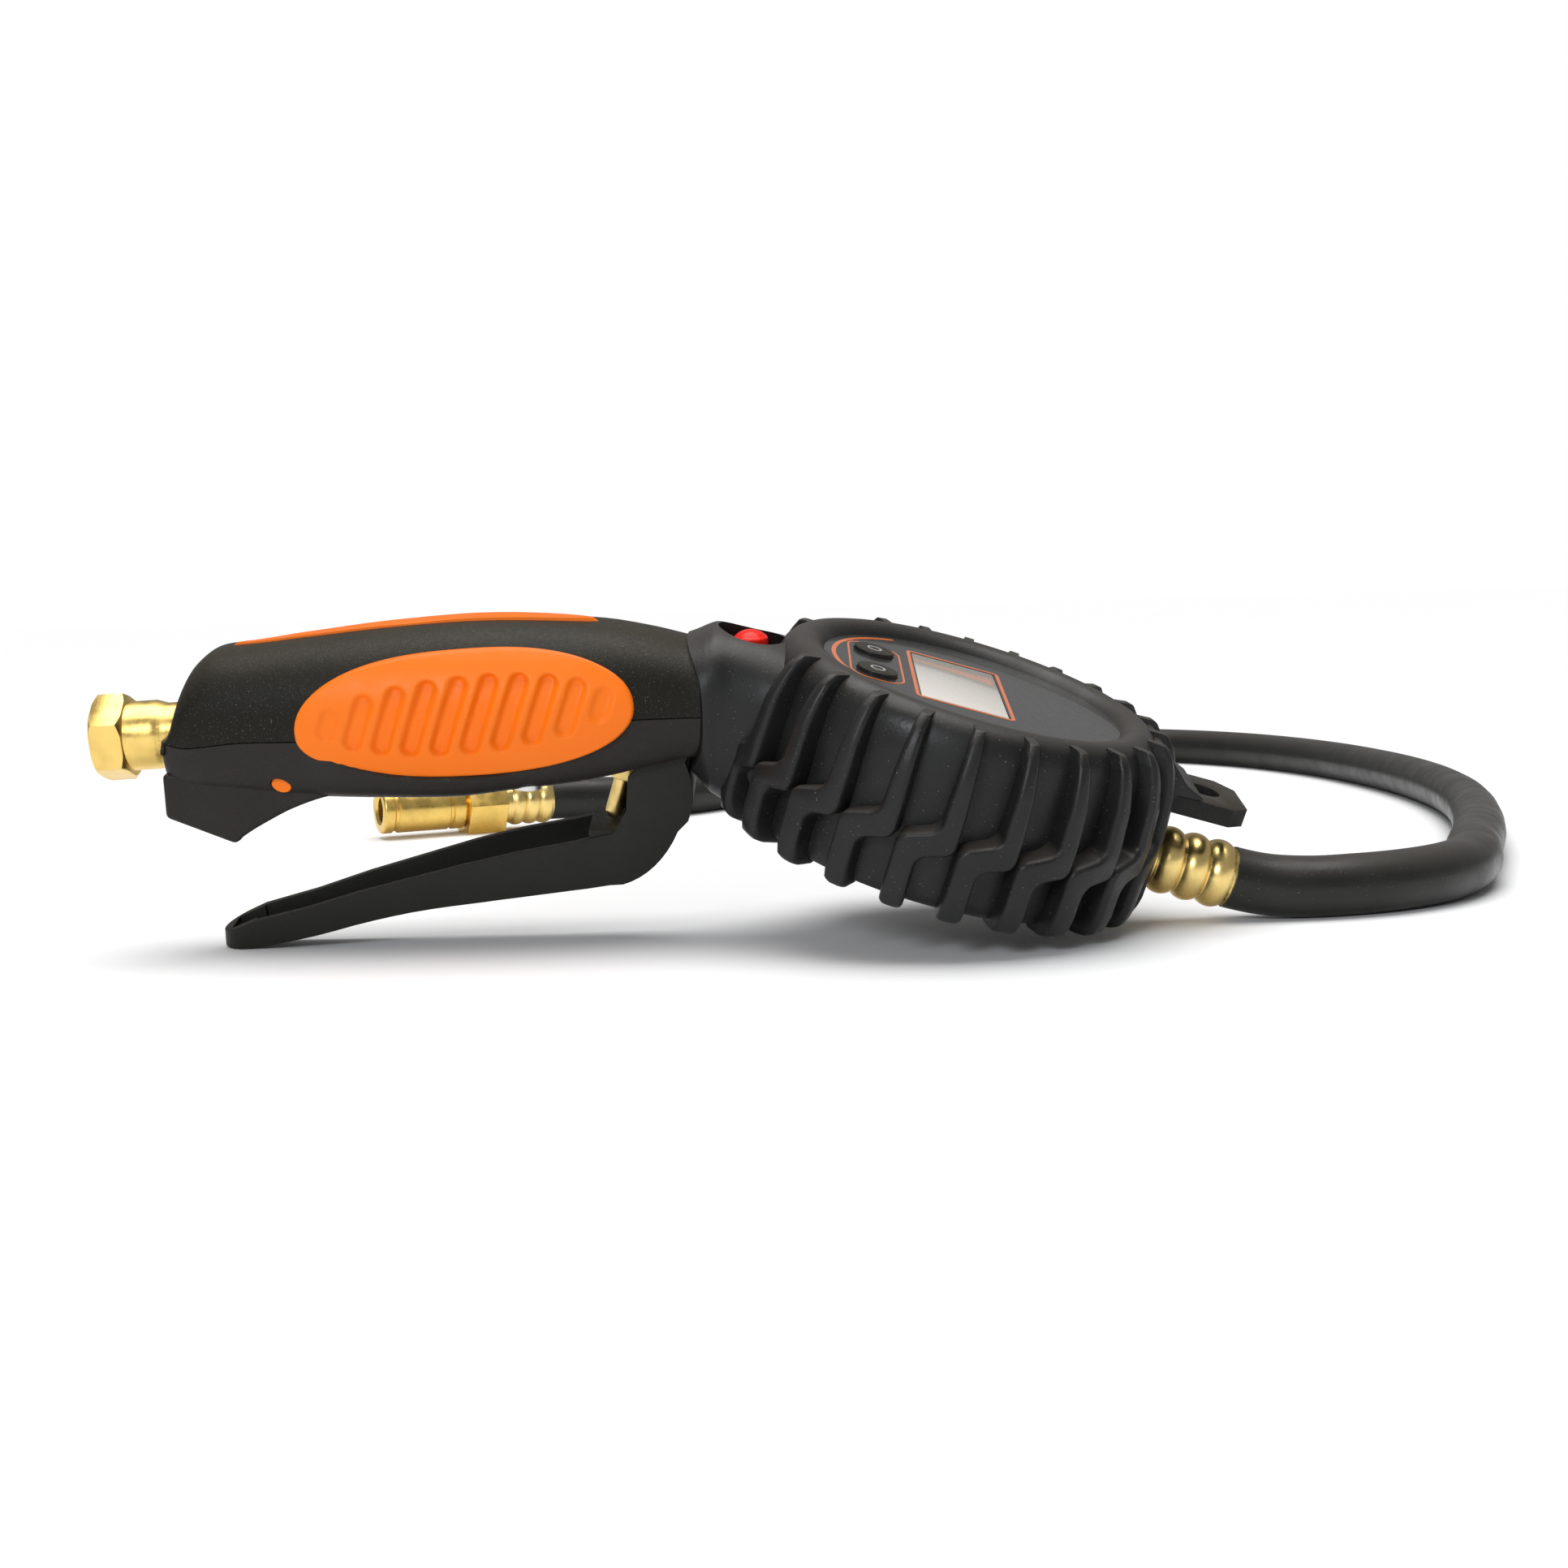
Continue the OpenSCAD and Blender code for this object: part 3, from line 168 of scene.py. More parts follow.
def moulded_black(name, colour, roughness, specks):
    """Spark-eroded moulded plastic: fine grain, pale specks and a soft sheen, with a painted highlight
    lightening what looks up.
    """
    finish = Finish(name, colour, roughness, Specular_IOR_Level=0.12)
    # Painted highlight: faces that look up are tinted lighter and browner, as if lit from above
    finish.tint(finish.span(finish.upward(), 0.25, 0.95), (0.036, 0.031, 0.022))
    finish.tint(finish.span(finish.noise(3600, 1), 0.67, 0.75, 0, specks), (0.2, 0.185, 0.145))
    finish.tint(finish.span(finish.noise(60, 3), 0.45, 0.75, 0, 0.3), tuple(c * 1.6 for c in colour))
    finish.gloss(finish.noise(900, 2), 0.3, 0.7, roughness - 0.06, roughness + 0.08)
    finish.bump(finish.noise(1700, 2), 0.35, 0.0002)
    return finish


def soft_rubber(name, colour, roughness):
    """Moulded rubber: matt, with a painted highlight lightening what looks up."""
    finish = Finish(name, colour, roughness, Specular_IOR_Level=0.28)
    finish.tint(finish.span(finish.noise(45, 4), 0.42, 0.75, 0, 0.45), tuple(c * 2.2 for c in colour))
    # Painted highlight: faces that look up are tinted lighter and warmer, as if lit from above
    finish.tint(finish.span(finish.upward(), 0.35, 0.95, 0, 0.8), (0.052, 0.046, 0.039))
    finish.tint(finish.span(finish.noise(2600, 1), 0.745, 0.78, 0, 0.5), (0.3, 0.28, 0.24))
    finish.gloss(finish.noise(120, 3), 0.3, 0.7, roughness - 0.09, roughness + 0.08)
    finish.bump(finish.noise(1300, 3), 0.22, 0.0002)
    return finish


def turned_metal(name, colour, roughness, rings_scale, rings_turn=(0, 0, 0)):
    """Metal with fine tool rings square to its axis, a trace of tarnish and small knocks."""
    finish = Finish(name, colour, roughness, 1.0)
    rings = finish.noise(1.0, 2, at=finish.placed(rings_scale, rings_turn))
    finish.tint(finish.span(finish.noise(160, 4), 0.5, 0.8, 0, 0.45), tuple(c * 0.55 for c in colour))
    finish.gloss(finish.noise(300, 3), 0.3, 0.7, roughness - 0.07, roughness + 0.14)
    finish.bump(rings, 0.3, 0.00006)
    finish.bump(finish.noise(420, 3), 0.18, 0.0001)
    return finish


orange_rubber = Finish("orange_rubber", (0.84, 0.165, 0.006), 0.45, Specular_IOR_Level=0.2)
orange_rubber.tint(orange_rubber.span(orange_rubber.noise(60, 3), 0.4, 0.75, 0, 0.5), (0.80, 0.18, 0.01))
orange_rubber.gloss(orange_rubber.noise(200, 3), 0.3, 0.7, 0.36, 0.5)
orange_rubber.bump(orange_rubber.noise(1400, 2), 0.18, 0.0002)

ALONG_X = (2600, 60, 60)
upper_black = moulded_black("upper_black", (0.0095, 0.009, 0.0065), 0.44, 0.5)
lower_black = moulded_black("lower_black", (0.022, 0.020, 0.018), 0.42, 0.12)
lever_black = moulded_black("lever_black", (0.019, 0.019, 0.0165), 0.46, 0.05)
case_black = moulded_black("case_black", (0.013, 0.013, 0.012), 0.36, 0.3)
boot_rubber = soft_rubber("boot_rubber", (0.0085, 0.0085, 0.0085), 0.42)
hose_rubber = soft_rubber("hose_rubber", (0.013, 0.013, 0.011), 0.36)
seal_rubber = soft_rubber("seal_rubber", (0.012, 0.012, 0.012), 0.5)
inlet_brass = turned_metal("inlet_brass", (0.80, 0.56, 0.17), 0.28, ALONG_X)
stem_brass = turned_metal("stem_brass", (0.83, 0.62, 0.24), 0.28, (60, 60, 2600), (0, -16, 0))
ferrule_brass = turned_metal("ferrule_brass", (0.86, 0.64, 0.24), 0.28, ALONG_X)
chuck_brass = turned_metal("chuck_brass", (0.80, 0.55, 0.15), 0.28, ALONG_X, (0, 0, -26))
steel = turned_metal("steel", (0.62, 0.62, 0.63), 0.26, (60, 60, 1800))
alloy = turned_metal("alloy", (0.62, 0.62, 0.62), 0.42, (300, 300, 300))

bronze = Finish("bronze", (0.45, 0.30, 0.14), 0.6, 0.8)
bronze.bump(bronze.cells(2600), 0.6, 0.0003)
bronze.gloss(bronze.noise(900), 0.3, 0.7, 0.5, 0.7)

red_plastic = Finish("red_plastic", (0.82, 0.014, 0.006), 0.3, Specular_IOR_Level=0.2)
red_plastic.tint(red_plastic.span(red_plastic.noise(300, 3), 0.45, 0.8, 0, 0.5), (0.62, 0.01, 0.006))
red_plastic.gloss(red_plastic.noise(500), 0.3, 0.7, 0.22, 0.34)

face_graphite = Finish("face_graphite", (0.02, 0.019, 0.018), 0.3, Coat_Weight=0.6, Coat_Roughness=0.035)
face_graphite.tint(face_graphite.span(face_graphite.noise(2600, 1), 0.55, 0.8, 0, 0.5), (0.09, 0.09, 0.095))
face_graphite.gloss(face_graphite.noise(900), 0.3, 0.7, 0.26, 0.38)

orange_print = Finish("orange_print", (0.85, 0.17, 0.012), 0.32, Coat_Weight=1.0, Coat_Roughness=0.035)
orange_print.gloss(orange_print.noise(900), 0.3, 0.7, 0.28, 0.4)
grey_print = Finish("grey_print", (0.42, 0.42, 0.42), 0.35, Coat_Weight=1.0, Coat_Roughness=0.035)
grey_print.gloss(grey_print.noise(900), 0.3, 0.7, 0.3, 0.42)

display_glass = Finish("display_glass", (0.70, 0.66, 0.60), 0.3, Coat_Weight=1.0, Coat_Roughness=0.03)
display_glass.tint(display_glass.span(display_glass.noise(25, 2), 0.35, 0.75, 0, 0.6), (0.74, 0.70, 0.64))
display_glass.gloss(display_glass.noise(1200), 0.3, 0.7, 0.26, 0.36)

board_green = Finish("board_green", (0.02, 0.14, 0.05), 0.35, Coat_Weight=0.4)
board_green.tint(board_green.span(board_green.cells(500), 0.1, 0.25, 0.5, 0), (0.06, 0.22, 0.09))
board_green.gloss(board_green.noise(700), 0.3, 0.7, 0.3, 0.45)
cell_jacket = Finish("cell_jacket", (0.03, 0.10, 0.25), 0.3, 0.3)
cell_jacket.tint(cell_jacket.span(cell_jacket.noise(200, 2), 0.45, 0.7, 0, 0.4), (0.3, 0.3, 0.32))
cell_jacket.gloss(cell_jacket.noise(400), 0.3, 0.7, 0.22, 0.4)

floor_paint = Finish("floor_paint", (0.92, 0.92, 0.92), 0.7)
floor_paint.tint(floor_paint.span(floor_paint.noise(6, 2), 0.4, 0.7, 0, 0.4), (0.90, 0.90, 0.905))


# ---------- making pieces ----------

def shaded(mesh, sharp):
    """Smooth faces, with a hard line wherever the surface turns by more than that angle."""
    mesh.polygons.foreach_set("use_smooth", [True] * len(mesh.polygons))
    mesh.set_sharp_from_angle(angle=math.radians(sharp))


def piece(bm, name, place, finish, body="gun", sharp=35, replaced=()):
    """Puts a drawing in millimetres where it belongs and dresses it."""
    bm.transform(place)
    mesh = bpy.data.meshes.new(name)
    bm.to_mesh(mesh)
    bm.free()
    shaded(mesh, sharp)
    made = bpy.data.objects.new(name, mesh)
    bpy.context.scene.collection.objects.link(made)
    made.data.materials.clear()
    made.data.materials.append(finish.material)
    if body:
        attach(made, body)
    if replaced:
        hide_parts(*replaced)
    return made


def closed(bm):
    """Merges doubled corners and turns the faces outwards."""
    bmesh.ops.remove_doubles(bm, verts=bm.verts, dist=1e-4)
    bmesh.ops.recalc_face_normals(bm, faces=bm.faces)
    return bm


def formed(columns, rows, where):
    """A sheet of quads laid on the surface where(u, v), u and v from 0 to 1."""
    bm = bmesh.new()
    bmesh.ops.create_grid(bm, x_segments=columns, y_segments=rows, size=0.5)
    for v in bm.verts:
        v.co = where(v.co.x + 0.5, v.co.y + 0.5)
    return bm


def arc(x, z, r, start, end, steps):
    return [
        (x + r * math.cos(math.radians(start + (end - start) * i / steps)),
         z + r * math.sin(math.radians(start + (end - start) * i / steps)))
        for i in range(steps + 1)
    ]


def turned(profile, steps=72, loop=True):
    """Spins a profile of (radius, height) about the Z axis."""
    bm = bmesh.new()
    corners = [bm.verts.new((max(r, 0), 0, z)) for r, z in profile]
    rims = [bm.edges.new((corners[i - 1], corners[i])) for i in range(0 if loop else 1, len(corners))]
    bmesh.ops.spin(
        bm, geom=corners + rims, cent=(0, 0, 0), axis=(0, 0, 1), angle=math.tau, steps=steps, use_merge=True
    )
    return closed(bm)


def prism(outline, height, rounding=0.0, segments=2):
    """A plate of that outline from z = 0 up to height, with rounded edges."""
    bm = bmesh.new()
    face = bm.faces.new([bm.verts.new((x, y, 0)) for x, y in outline])
    raised = bmesh.ops.extrude_face_region(bm, geom=[face])["geom"]
    bmesh.ops.translate(bm, verts=[v for v in raised if isinstance(v, bmesh.types.BMVert)], vec=(0, 0, height))
    bmesh.ops.recalc_face_normals(bm, faces=bm.faces)
    if rounding:
        soften(bm, rounding, segments)
    return bm


def soften(bm, width, segments=2):
    """Rounds every edge that turns by more than 28 degrees."""
    limit = math.radians(28)
    rims = [e for e in bm.edges if len(e.link_faces) == 2 and e.calc_face_angle(0) > limit]
    bmesh.ops.bevel(
        bm, geom=rims, offset=width, offset_type="OFFSET", segments=segments, profile=0.5,
        affect="EDGES", clamp_overlap=True, material=-1
    )
    return bm


def clean_copy(mesh):
    """A mesh as a drawing in metres, its loose triangles joined into clean faces."""
    bm = bmesh.new()
    bm.from_mesh(mesh)
    bmesh.ops.remove_doubles(bm, verts=bm.verts, dist=2e-6)
    bmesh.ops.dissolve_limit(
        bm, angle_limit=math.radians(0.6), verts=bm.verts, edges=bm.edges, use_dissolve_boundaries=False
    )
    return bm


def from_node(name):
    return clean_copy(nodes[name].data)


def softened_node(name, finish, body, width, segments=2):
    """A CAD node with its sharp edges rounded."""
    bm = soften(from_node(name), width * 0.001, segments)
    return piece(bm, name + "_shape", Matrix.Identity(4), finish, body, replaced=(name,))


def carved(made, *tools):
    """Cuts the tools out of a piece and takes them away."""
    for tool in tools:
        cut = made.modifiers.new("cut", "BOOLEAN")
        cut.operation = "DIFFERENCE"
        cut.solver = "EXACT"
        cut.object = tool
    settle(made)
    for tool in tools:
        bpy.data.objects.remove(tool)
    return made


def settle(made):
    """Makes a piece's modifiers part of its mesh."""
    bpy.context.view_layer.update()
    shown = made.evaluated_get(bpy.context.evaluated_depsgraph_get())
    mesh = bpy.data.meshes.new_from_object(shown)
    made.modifiers.clear()
    old = made.data
    made.data = mesh
    bpy.data.meshes.remove(old)
    shaded(mesh, 32)
    return made


def resoften(made, width, segments):
    """Rounds the sharp edges of a finished piece."""
    bm = soften(clean_copy(made.data), width * 0.001, segments)
    bm.to_mesh(made.data)
    bm.free()
    shaded(made.data, 35)


def between(table, t):
    """Straight runs through a table of (place, value)."""
    for (a, x), (b, y) in zip(table, table[1:]):
        if t <= b:
            return x + (y - x) * (t - a) / (b - a)
    return table[-1][1]


def tool(bm, place=GUN):
    """A cutter, or a solid to be joined on."""
    return piece(bm, "tool", place, lower_black, body=None)


def block(x, y, z):
    """A box between two corners given as ranges."""
    bm = bmesh.new()
    bmesh.ops.create_cube(bm, size=1)
    bmesh.ops.scale(bm, verts=bm.verts, vec=(x[1] - x[0], y[1] - y[0], z[1] - z[0]))
    bmesh.ops.translate(bm, verts=bm.verts, vec=(sum(x) / 2, sum(y) / 2, sum(z) / 2))
    return bm


def rod(r, low, high):
    return turned([(0, low), (r, low), (r, high), (0, high)], 48, loop=False)


# ---------- hose and chuck ----------

hose_route = [
    (0.1310, 0.00455, 0.00785), (0.1400, 0.0051, 0.00705), (0.1525, 0.0075, 0.007), (0.1640, 0.0125, 0.007),
    (0.1742, 0.0200, 0.007), (0.1826, 0.0296, 0.007), (0.1888, 0.0405, 0.007), (0.198, 0.066, 0.007),
    (0.209, 0.096, 0.007), (0.219, 0.128, 0.007), (0.228, 0.162, 0.007), (0.235, 0.198, 0.007),
    (0.239, 0.234, 0.007), (0.240, 0.270, 0.007), (0.238, 0.306, 0.007), (0.233, 0.342, 0.007),
    (0.224, 0.376, 0.007), (0.210, 0.408, 0.007), (0.190, 0.435, 0.007), (0.1635, 0.4545, 0.007),
    (0.134, 0.4625, 0.007), (0.105, 0.456, 0.007), (0.0815, 0.437, 0.007), (0.063, 0.410, 0.007),
    (0.050, 0.378, 0.007), (0.037, 0.347, 0.007), (0.022, 0.317, 0.007), (0.002, 0.290, 0.007),
    (-0.0175, 0.268, 0.0074), (-0.0372, 0.2536, 0.0085),
]
hose_exit = OUTLET @ Vector((0, 0, 66.2))
hose_line = [hose_exit, *map(Vector, hose_route), CHUCK @ Vector((0, 0, 0))]
hose_curve = bpy.data.curves.new("air_hose", "CURVE")
hose_curve.dimensions = "3D"
hose_curve.resolution_u = 10
hose_curve.bevel_depth = 0.007
hose_curve.bevel_resolution = 8
hose_curve.use_fill_caps = True
hose_spline = hose_curve.splines.new("BEZIER")
hose_spline.bezier_points.add(len(hose_line) - 1)
hose_steps = [b - a for a, b in zip(hose_line, hose_line[1:])]
for i, (point, place) in enumerate(zip(hose_spline.bezier_points, hose_line)):
    before, after = hose_steps[max(i - 1, 0)], hose_steps[min(i, len(hose_steps) - 1)]
    if i == 0:
        along = way(OUTLET)
    elif i == len(hose_steps):
        along = way(CHUCK)
    else:
        along = (before.normalized() * after.length + after.normalized() * before.length).normalized()
    point.handle_left_type = point.handle_right_type = "FREE"
    point.co = place
    point.handle_left, point.handle_right = place - along * before.length / 3, place + along * after.length / 3
air_hose = bpy.data.objects.new("air_hose", hose_curve)
bpy.context.scene.collection.objects.link(air_hose)
hose_curve.materials.append(hose_rubber.material)
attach(air_hose, "gun")
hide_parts("hose")


def beaded(length, bore, crown):
    """A crimped ferrule with three beads and a plain tail."""
    bead = length * 0.195
    base = crown - bead * 0.28
    profile = [(bore, 0), (base, 0)]
    for i in range(3):
        profile += arc(crown - bead, length * (0.145 + i * 0.282), bead, -43, 43, 12)
    profile += [(base, length * 0.86), (base, length - 0.3), (base - 0.3, length), (bore, length)]
    return turned(profile, 96)


piece(
    beaded(20.6, 3.7, 7.7), "hose_ferrule_shape", OUTLET @ shift(0, 0, 48.22), ferrule_brass,
    replaced=("hose_ferrule",)
)
chuck_ferrule = piece(
    beaded(17, 3.4, 7.9), "chuck_ferrule_shape", CHUCK @ shift(0, 0, 0.02), ferrule_brass,
    replaced=("chuck_ferrule",)
)
chuck_nut = softened_node("chuck_nut", chuck_brass, "gun", 0.7, 3)
barrel = turned([
    (5.1, 30.15), (7.0, 30.15), (7.7, 31.0), (7.7, 34.6), (7.2, 35.0), (7.2, 35.8), (7.7, 36.2), (7.7, 52.6),
    (7.1, 53.2), (7.1, 54.2), (7.7, 54.8), *arc(6.9, 57.35, 0.8, 0, 90, 4), (4.9, 58.15), (4.1, 57.3),
    (4.1, 47.15), (4.6, 47.15), (4.6, 45.65), (5.4, 45.65), (5.4, 35.15), (5.1, 35.15)
], 96)
chuck_barrel = piece(barrel, "chuck_barrel_shape", CHUCK, chuck_brass, replaced=("chuck_barrel",))

# ---------- handle ----------

FRONT_X = 5.5
HANDLE = FRONT_X - REAR_X
PARTING = 56
# Tables along the handle, from 0 at its rear to 1 at its front
CROWN = [
    (0, 13.6), (0.14, 13.6), (0.26, 15.4), (0.44, 18.0), (0.62, 19.4), (0.82, 18.6), (0.92, 16.8), (1, 14.6)
]
BELLY = [
    (0, 17), (0.2, 18.4), (0.35, 19), (0.55, 18.8), (0.65, 17.4), (0.77, 15.8), (0.84, 14.3), (0.9, 12.6),
    (1, 10)
]
SEAM = [(0, -5.2), (0.04, -6), (0.08, -5.6), (0.15, -4.5), (0.25, -3.9), (0.6, -1.5), (0.86, 0.8), (1, 1)]
WIDTH = [(0, 15), (0.15, 16.5), (0.38, 18.9), (0.6, 19.5), (0.86, 17.9), (1, 16)]
# Share of the crown's height that is reached so many millimetres from the rear
REAR_RISE = [
    (0, 0.02), (0.8, 0.07), (1.9, 0.27), (2.8, 0.47), (4.2, 0.65), (6, 0.79), (9.8, 0.94), (14.5, 0.99), (19, 1)
]


def curve(table, t):
    """Smooth curve through a table of (place, value)."""
    i = 0
    while i < len(table) - 2 and t >= table[i + 1][0]:
        i += 1

    def slope(k):
        a, b = table[max(k - 1, 0)], table[min(k + 1, len(table) - 1)]
        return (b[1] - a[1]) / (b[0] - a[0])

    (x0, y0), (x1, y1) = table[i], table[i + 1]
    w = x1 - x0
    u = (t - x0) / w
    return (
        (2 * u ** 3 - 3 * u ** 2 + 1) * y0 + (u ** 3 - 2 * u ** 2 + u) * slope(i) * w
        + (3 * u ** 2 - 2 * u ** 3) * y1 + (u ** 3 - u ** 2) * slope(i + 1) * w
    )


def power(v, e):
    """A power that keeps the sign."""
    return math.copysign(abs(v) ** e, v)


def rear_round(t, length, start):
    """Share of the full size at station t, rounded off over that length from the rear."""
    d = t * HANDLE
    return 1.0 if d >= length else start + (1 - start) * math.sqrt(max(0.0, 1 - (1 - d / length) ** 2))


def half_width(t):
    return curve(WIDTH, min(t, 1)) * rear_round(t, 9, 0.84)


def seam(t):
    """Height of the line between the handle's halves, against PARTING."""
    return curve(SEAM, min(t, 1))


def handle_rise(t, up):
    """How far the skin stands above the line between the halves, or below it."""
    if up:
        fall = curve(REAR_RISE, min(t * HANDLE, REAR_RISE[-1][0]))
        return (curve(CROWN, min(t, 1)) - seam(t)) * fall
    return curve(BELLY, min(t, 1)) * rear_round(t, 4, 0.88) + seam(t)


PAD_X = (REAR_X + FRONT_X) / 2 + 9
PAD_UP = 1.5
PAD_REACH, PAD_HIGH, PAD_LOW = 36, 14, 12.8
PAD_TILT = math.radians(4.2)
PAD_DENT = 2.3
UPPER_SQUARE = 2.4
LOWER_SQUARE = 3.1
LOWER_INSET = 0.3
SEAM_GAP = 0.3
SHELL_WALL = 2.8


def skin(t, a):
    """Point of the handle's skin at station t and angle a in degrees, let in under the side grips."""
    c, s = math.cos(math.radians(a)), math.sin(math.radians(a))
    square = 2 / (UPPER_SQUARE if s >= 0 else LOWER_SQUARE)
    x, rise = REAR_X + t * HANDLE, seam(t) + handle_rise(t, s >= 0) * power(s, square)
    off_x, off_z = x - PAD_X, rise - PAD_UP
    px = off_x * math.cos(PAD_TILT) + off_z * math.sin(PAD_TILT)
    pz = off_z * math.cos(PAD_TILT) - off_x * math.sin(PAD_TILT)
    dent = PAD_DENT * min(1.0, max(0.0, (0.9 - (px / PAD_REACH) ** 2 - (pz / PAD_HIGH) ** 2) / 0.14))
    width = (half_width(t) - (LOWER_INSET if s < 0 else 0)) * power(c, square)
    return Vector((x, width - math.copysign(dent, width), PARTING + rise))


def top_z(x, y):
    """Height of the handle's top at a place in the gun's drawing."""
    t = (x - REAR_X) / HANDLE
    across = min(abs(y) / half_width(t), 1)
    return PARTING + seam(t) + handle_rise(t, True) * (1 - across ** UPPER_SQUARE) ** (1 / UPPER_SQUARE)


def half_shell(first):
    """Skin of the upper half, first = 0, or of the lower half, first = 180, with its rear end closed."""
    cap = 0.08

    def where(u, v):
        a = first + 180 * u
        if v < cap:
            rim = skin(0, a)
            centre = Vector((REAR_X, 0, PARTING + seam(0)))
            return centre + (rim - centre) * (v / cap)
        t = 1.035 * ((v - cap) / (1 - cap)) ** 1.5
        point = skin(t, a)
        if first == 0:
            point.z = max(point.z, PARTING + seam(t) + SEAM_GAP)
        return point

    return closed(formed(64, 110, where))


def walled(made, thickness):
    wall = made.modifiers.new("wall", "SOLIDIFY")
    wall.thickness = thickness * 0.001
    wall.offset = -1
    return made


upper = settle(walled(piece(half_shell(0), "handle_upper", GUN, upper_black), SHELL_WALL))
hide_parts("handle_upper_shell")

lower = settle(walled(piece(half_shell(180), "handle_lower", GUN, lower_black), SHELL_WALL))
CHIN_WIDTH = 26
CHIN_TOP = PARTING - 12.4
TIP_X, TIP_Z = REAR_X + 14.3, PARTING - 28.2
ARCH_LENGTH, ARCH_STEPS = 26, 16
ARCH = [
    (0, 0), (0.045, 1.3), (0.17, 3.5), (0.33, 5.9), (0.46, 7.7), (0.65, 9.7), (0.79, 10.8), (0.92, 11.4),
    (1, 11.5)
]
chin_outline = [(REAR_X - 0.5, CHIN_TOP), (REAR_X - 0.5, PARTING - 22.2), (TIP_X, TIP_Z)]
for i in range(1, ARCH_STEPS + 1):
    chin_outline.append((TIP_X + i * ARCH_LENGTH / ARCH_STEPS, TIP_Z + curve(ARCH, i / ARCH_STEPS)))
chin_outline.append((TIP_X + ARCH_LENGTH, CHIN_TOP))
chin = tool(prism(chin_outline, CHIN_WIDTH, 1.0, 3), GUN @ shift(0, CHIN_WIDTH / 2, 0) @ turn("X", 90))
joined = lower.modifiers.new("join", "BOOLEAN")
joined.operation = "UNION"
joined.solver = "EXACT"
joined.object = chin
settle(lower)
bpy.data.objects.remove(chin)

SLOT_SIDE = (-10.6, 10.6)
SCREWS = ((-92, 7.2), (-92, -7.2), (-30, 10.2), (-30, -10.2))
PLUG_OVAL = turn("Y", 22) @ Matrix.Diagonal((1, 1, 0.72, 1)) @ turn("Y", -22)


def plug_place(y):
    return shift(REAR_X + 25.5, y, PARTING - 14.1) @ PLUG_OVAL


carved(
    lower,
    tool(block((-18, 22), SLOT_SIDE, (0, 52))),
    tool(block((REAR_X + 3.6, REAR_X + 27.6), SLOT_SIDE, (0, 38.8))),
    *[tool(rod(3.15, 0, 42), GUN @ shift(x, y, 0)) for x, y in SCREWS],
    *[tool(rod(2.35, -2, 3), GUN @ plug_place(side * 14) @ turn("X", side * 90)) for side in (-1, 1)]
)
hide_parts("handle_lower_shell")


def oval_cushion(spokes, rings, outline, surface, depth, rim):
    """A pad on a surface: outline(angle) gives its edge, surface(x, y) its face, and rim its rounding."""

    def where(u, v):
        a = math.tau * u
        ex, ey = outline(a)
        reach = math.hypot(ex, ey)
        face = 0.9
        if v <= face:
            rho = 1 - (1 - v / face) ** 1.15
            inset = reach * (1 - rho)
            drop = rim - math.sqrt(max(0.0, rim ** 2 - max(0.0, rim - inset) ** 2))
        else:
            rho = 1
            drop = rim + (depth - rim) * (v - face) / (1 - face)
        return surface(ex * rho, ey * rho, drop)

    return closed(formed(spokes, rings, where))


GROOVES, GROOVE_PITCH = 10, 6.4
GROOVE_DEEP, GROOVE_HALF = 1.6, 2.5
GROOVE_LEAN = math.radians(18)


def groove(x, z):
    """Depth of the grooves at a point of the pad."""
    deepest = 0.0
    for i in range(GROOVES):
        off = (i - (GROOVES - 1) / 2) * GROOVE_PITCH
        dx, dz = x - off, z - off * math.tan(PAD_TILT)
        across = dx * math.cos(GROOVE_LEAN) - dz * math.sin(GROOVE_LEAN)
        along = dx * math.sin(GROOVE_LEAN) + dz * math.cos(GROOVE_LEAN) - 1.0
        half = 8.6 * math.sqrt(max(0.05, 1 - (off / 31.5) ** 2)) - 1.8
        far = math.hypot(across, max(0.0, abs(along) - half))
        if far < GROOVE_HALF:
            fade = 1.0 - 0.6 * (abs(off) / 29) ** 3
            wall = min(1.0, (GROOVE_HALF - far) / 1.5)
            deepest = max(deepest, GROOVE_DEEP * fade * wall * wall * (3 - 2 * wall))
    return deepest


PAD_ROUND = 20.9
PAD_BARREL = 325


def grip_pad(side, name, node):
    def outline(a):
        """Edge of the pad, its lower half shallower and its rear tip hanging a little."""
        x = PAD_REACH * power(math.cos(a), 0.86)
        sag = 1.5 * (x / PAD_REACH) ** 4 if x < 0 else 0
        high = PAD_HIGH * power(math.sin(a), 0.82 if x < 0 else 0.9)
        return x, (high if a < math.pi else PAD_LOW * math.sin(a)) - sag

    def surface(x, z, drop):
        px = x * math.cos(PAD_TILT) - z * math.sin(PAD_TILT)
        pz = x * math.sin(PAD_TILT) + z * math.cos(PAD_TILT)
        reach = PAD_ROUND - PAD_BARREL + math.sqrt(PAD_BARREL ** 2 - px ** 2) - groove(px, pz)
        y = math.sqrt(max(0.0, reach ** 2 - (pz + PAD_UP) ** 2)) - drop
        return Vector((PAD_X + px, side * y, PARTING + PAD_UP + pz))

    bm = oval_cushion(300, 96, outline, surface, 2.6, 0.8)
    return piece(bm, name, GUN, orange_rubber, replaced=(node,), sharp=60)


grip_pad(-1, "grip_near", "grip_pad_near")
grip_pad(1, "grip_far", "grip_pad_far")

STRIP_X = (REAR_X + FRONT_X) / 2 - 3.5
STRIP_REACH = 40


def strip_outline(a):
    return STRIP_REACH * power(math.cos(a), 0.9), (2.7 + 0.8 * math.cos(a)) * math.sin(a)


def strip_surface(x, y, drop):
    return Vector((STRIP_X + x, y, top_z(STRIP_X + x, y) + 0.55 + 0.15 * x / STRIP_REACH - drop))


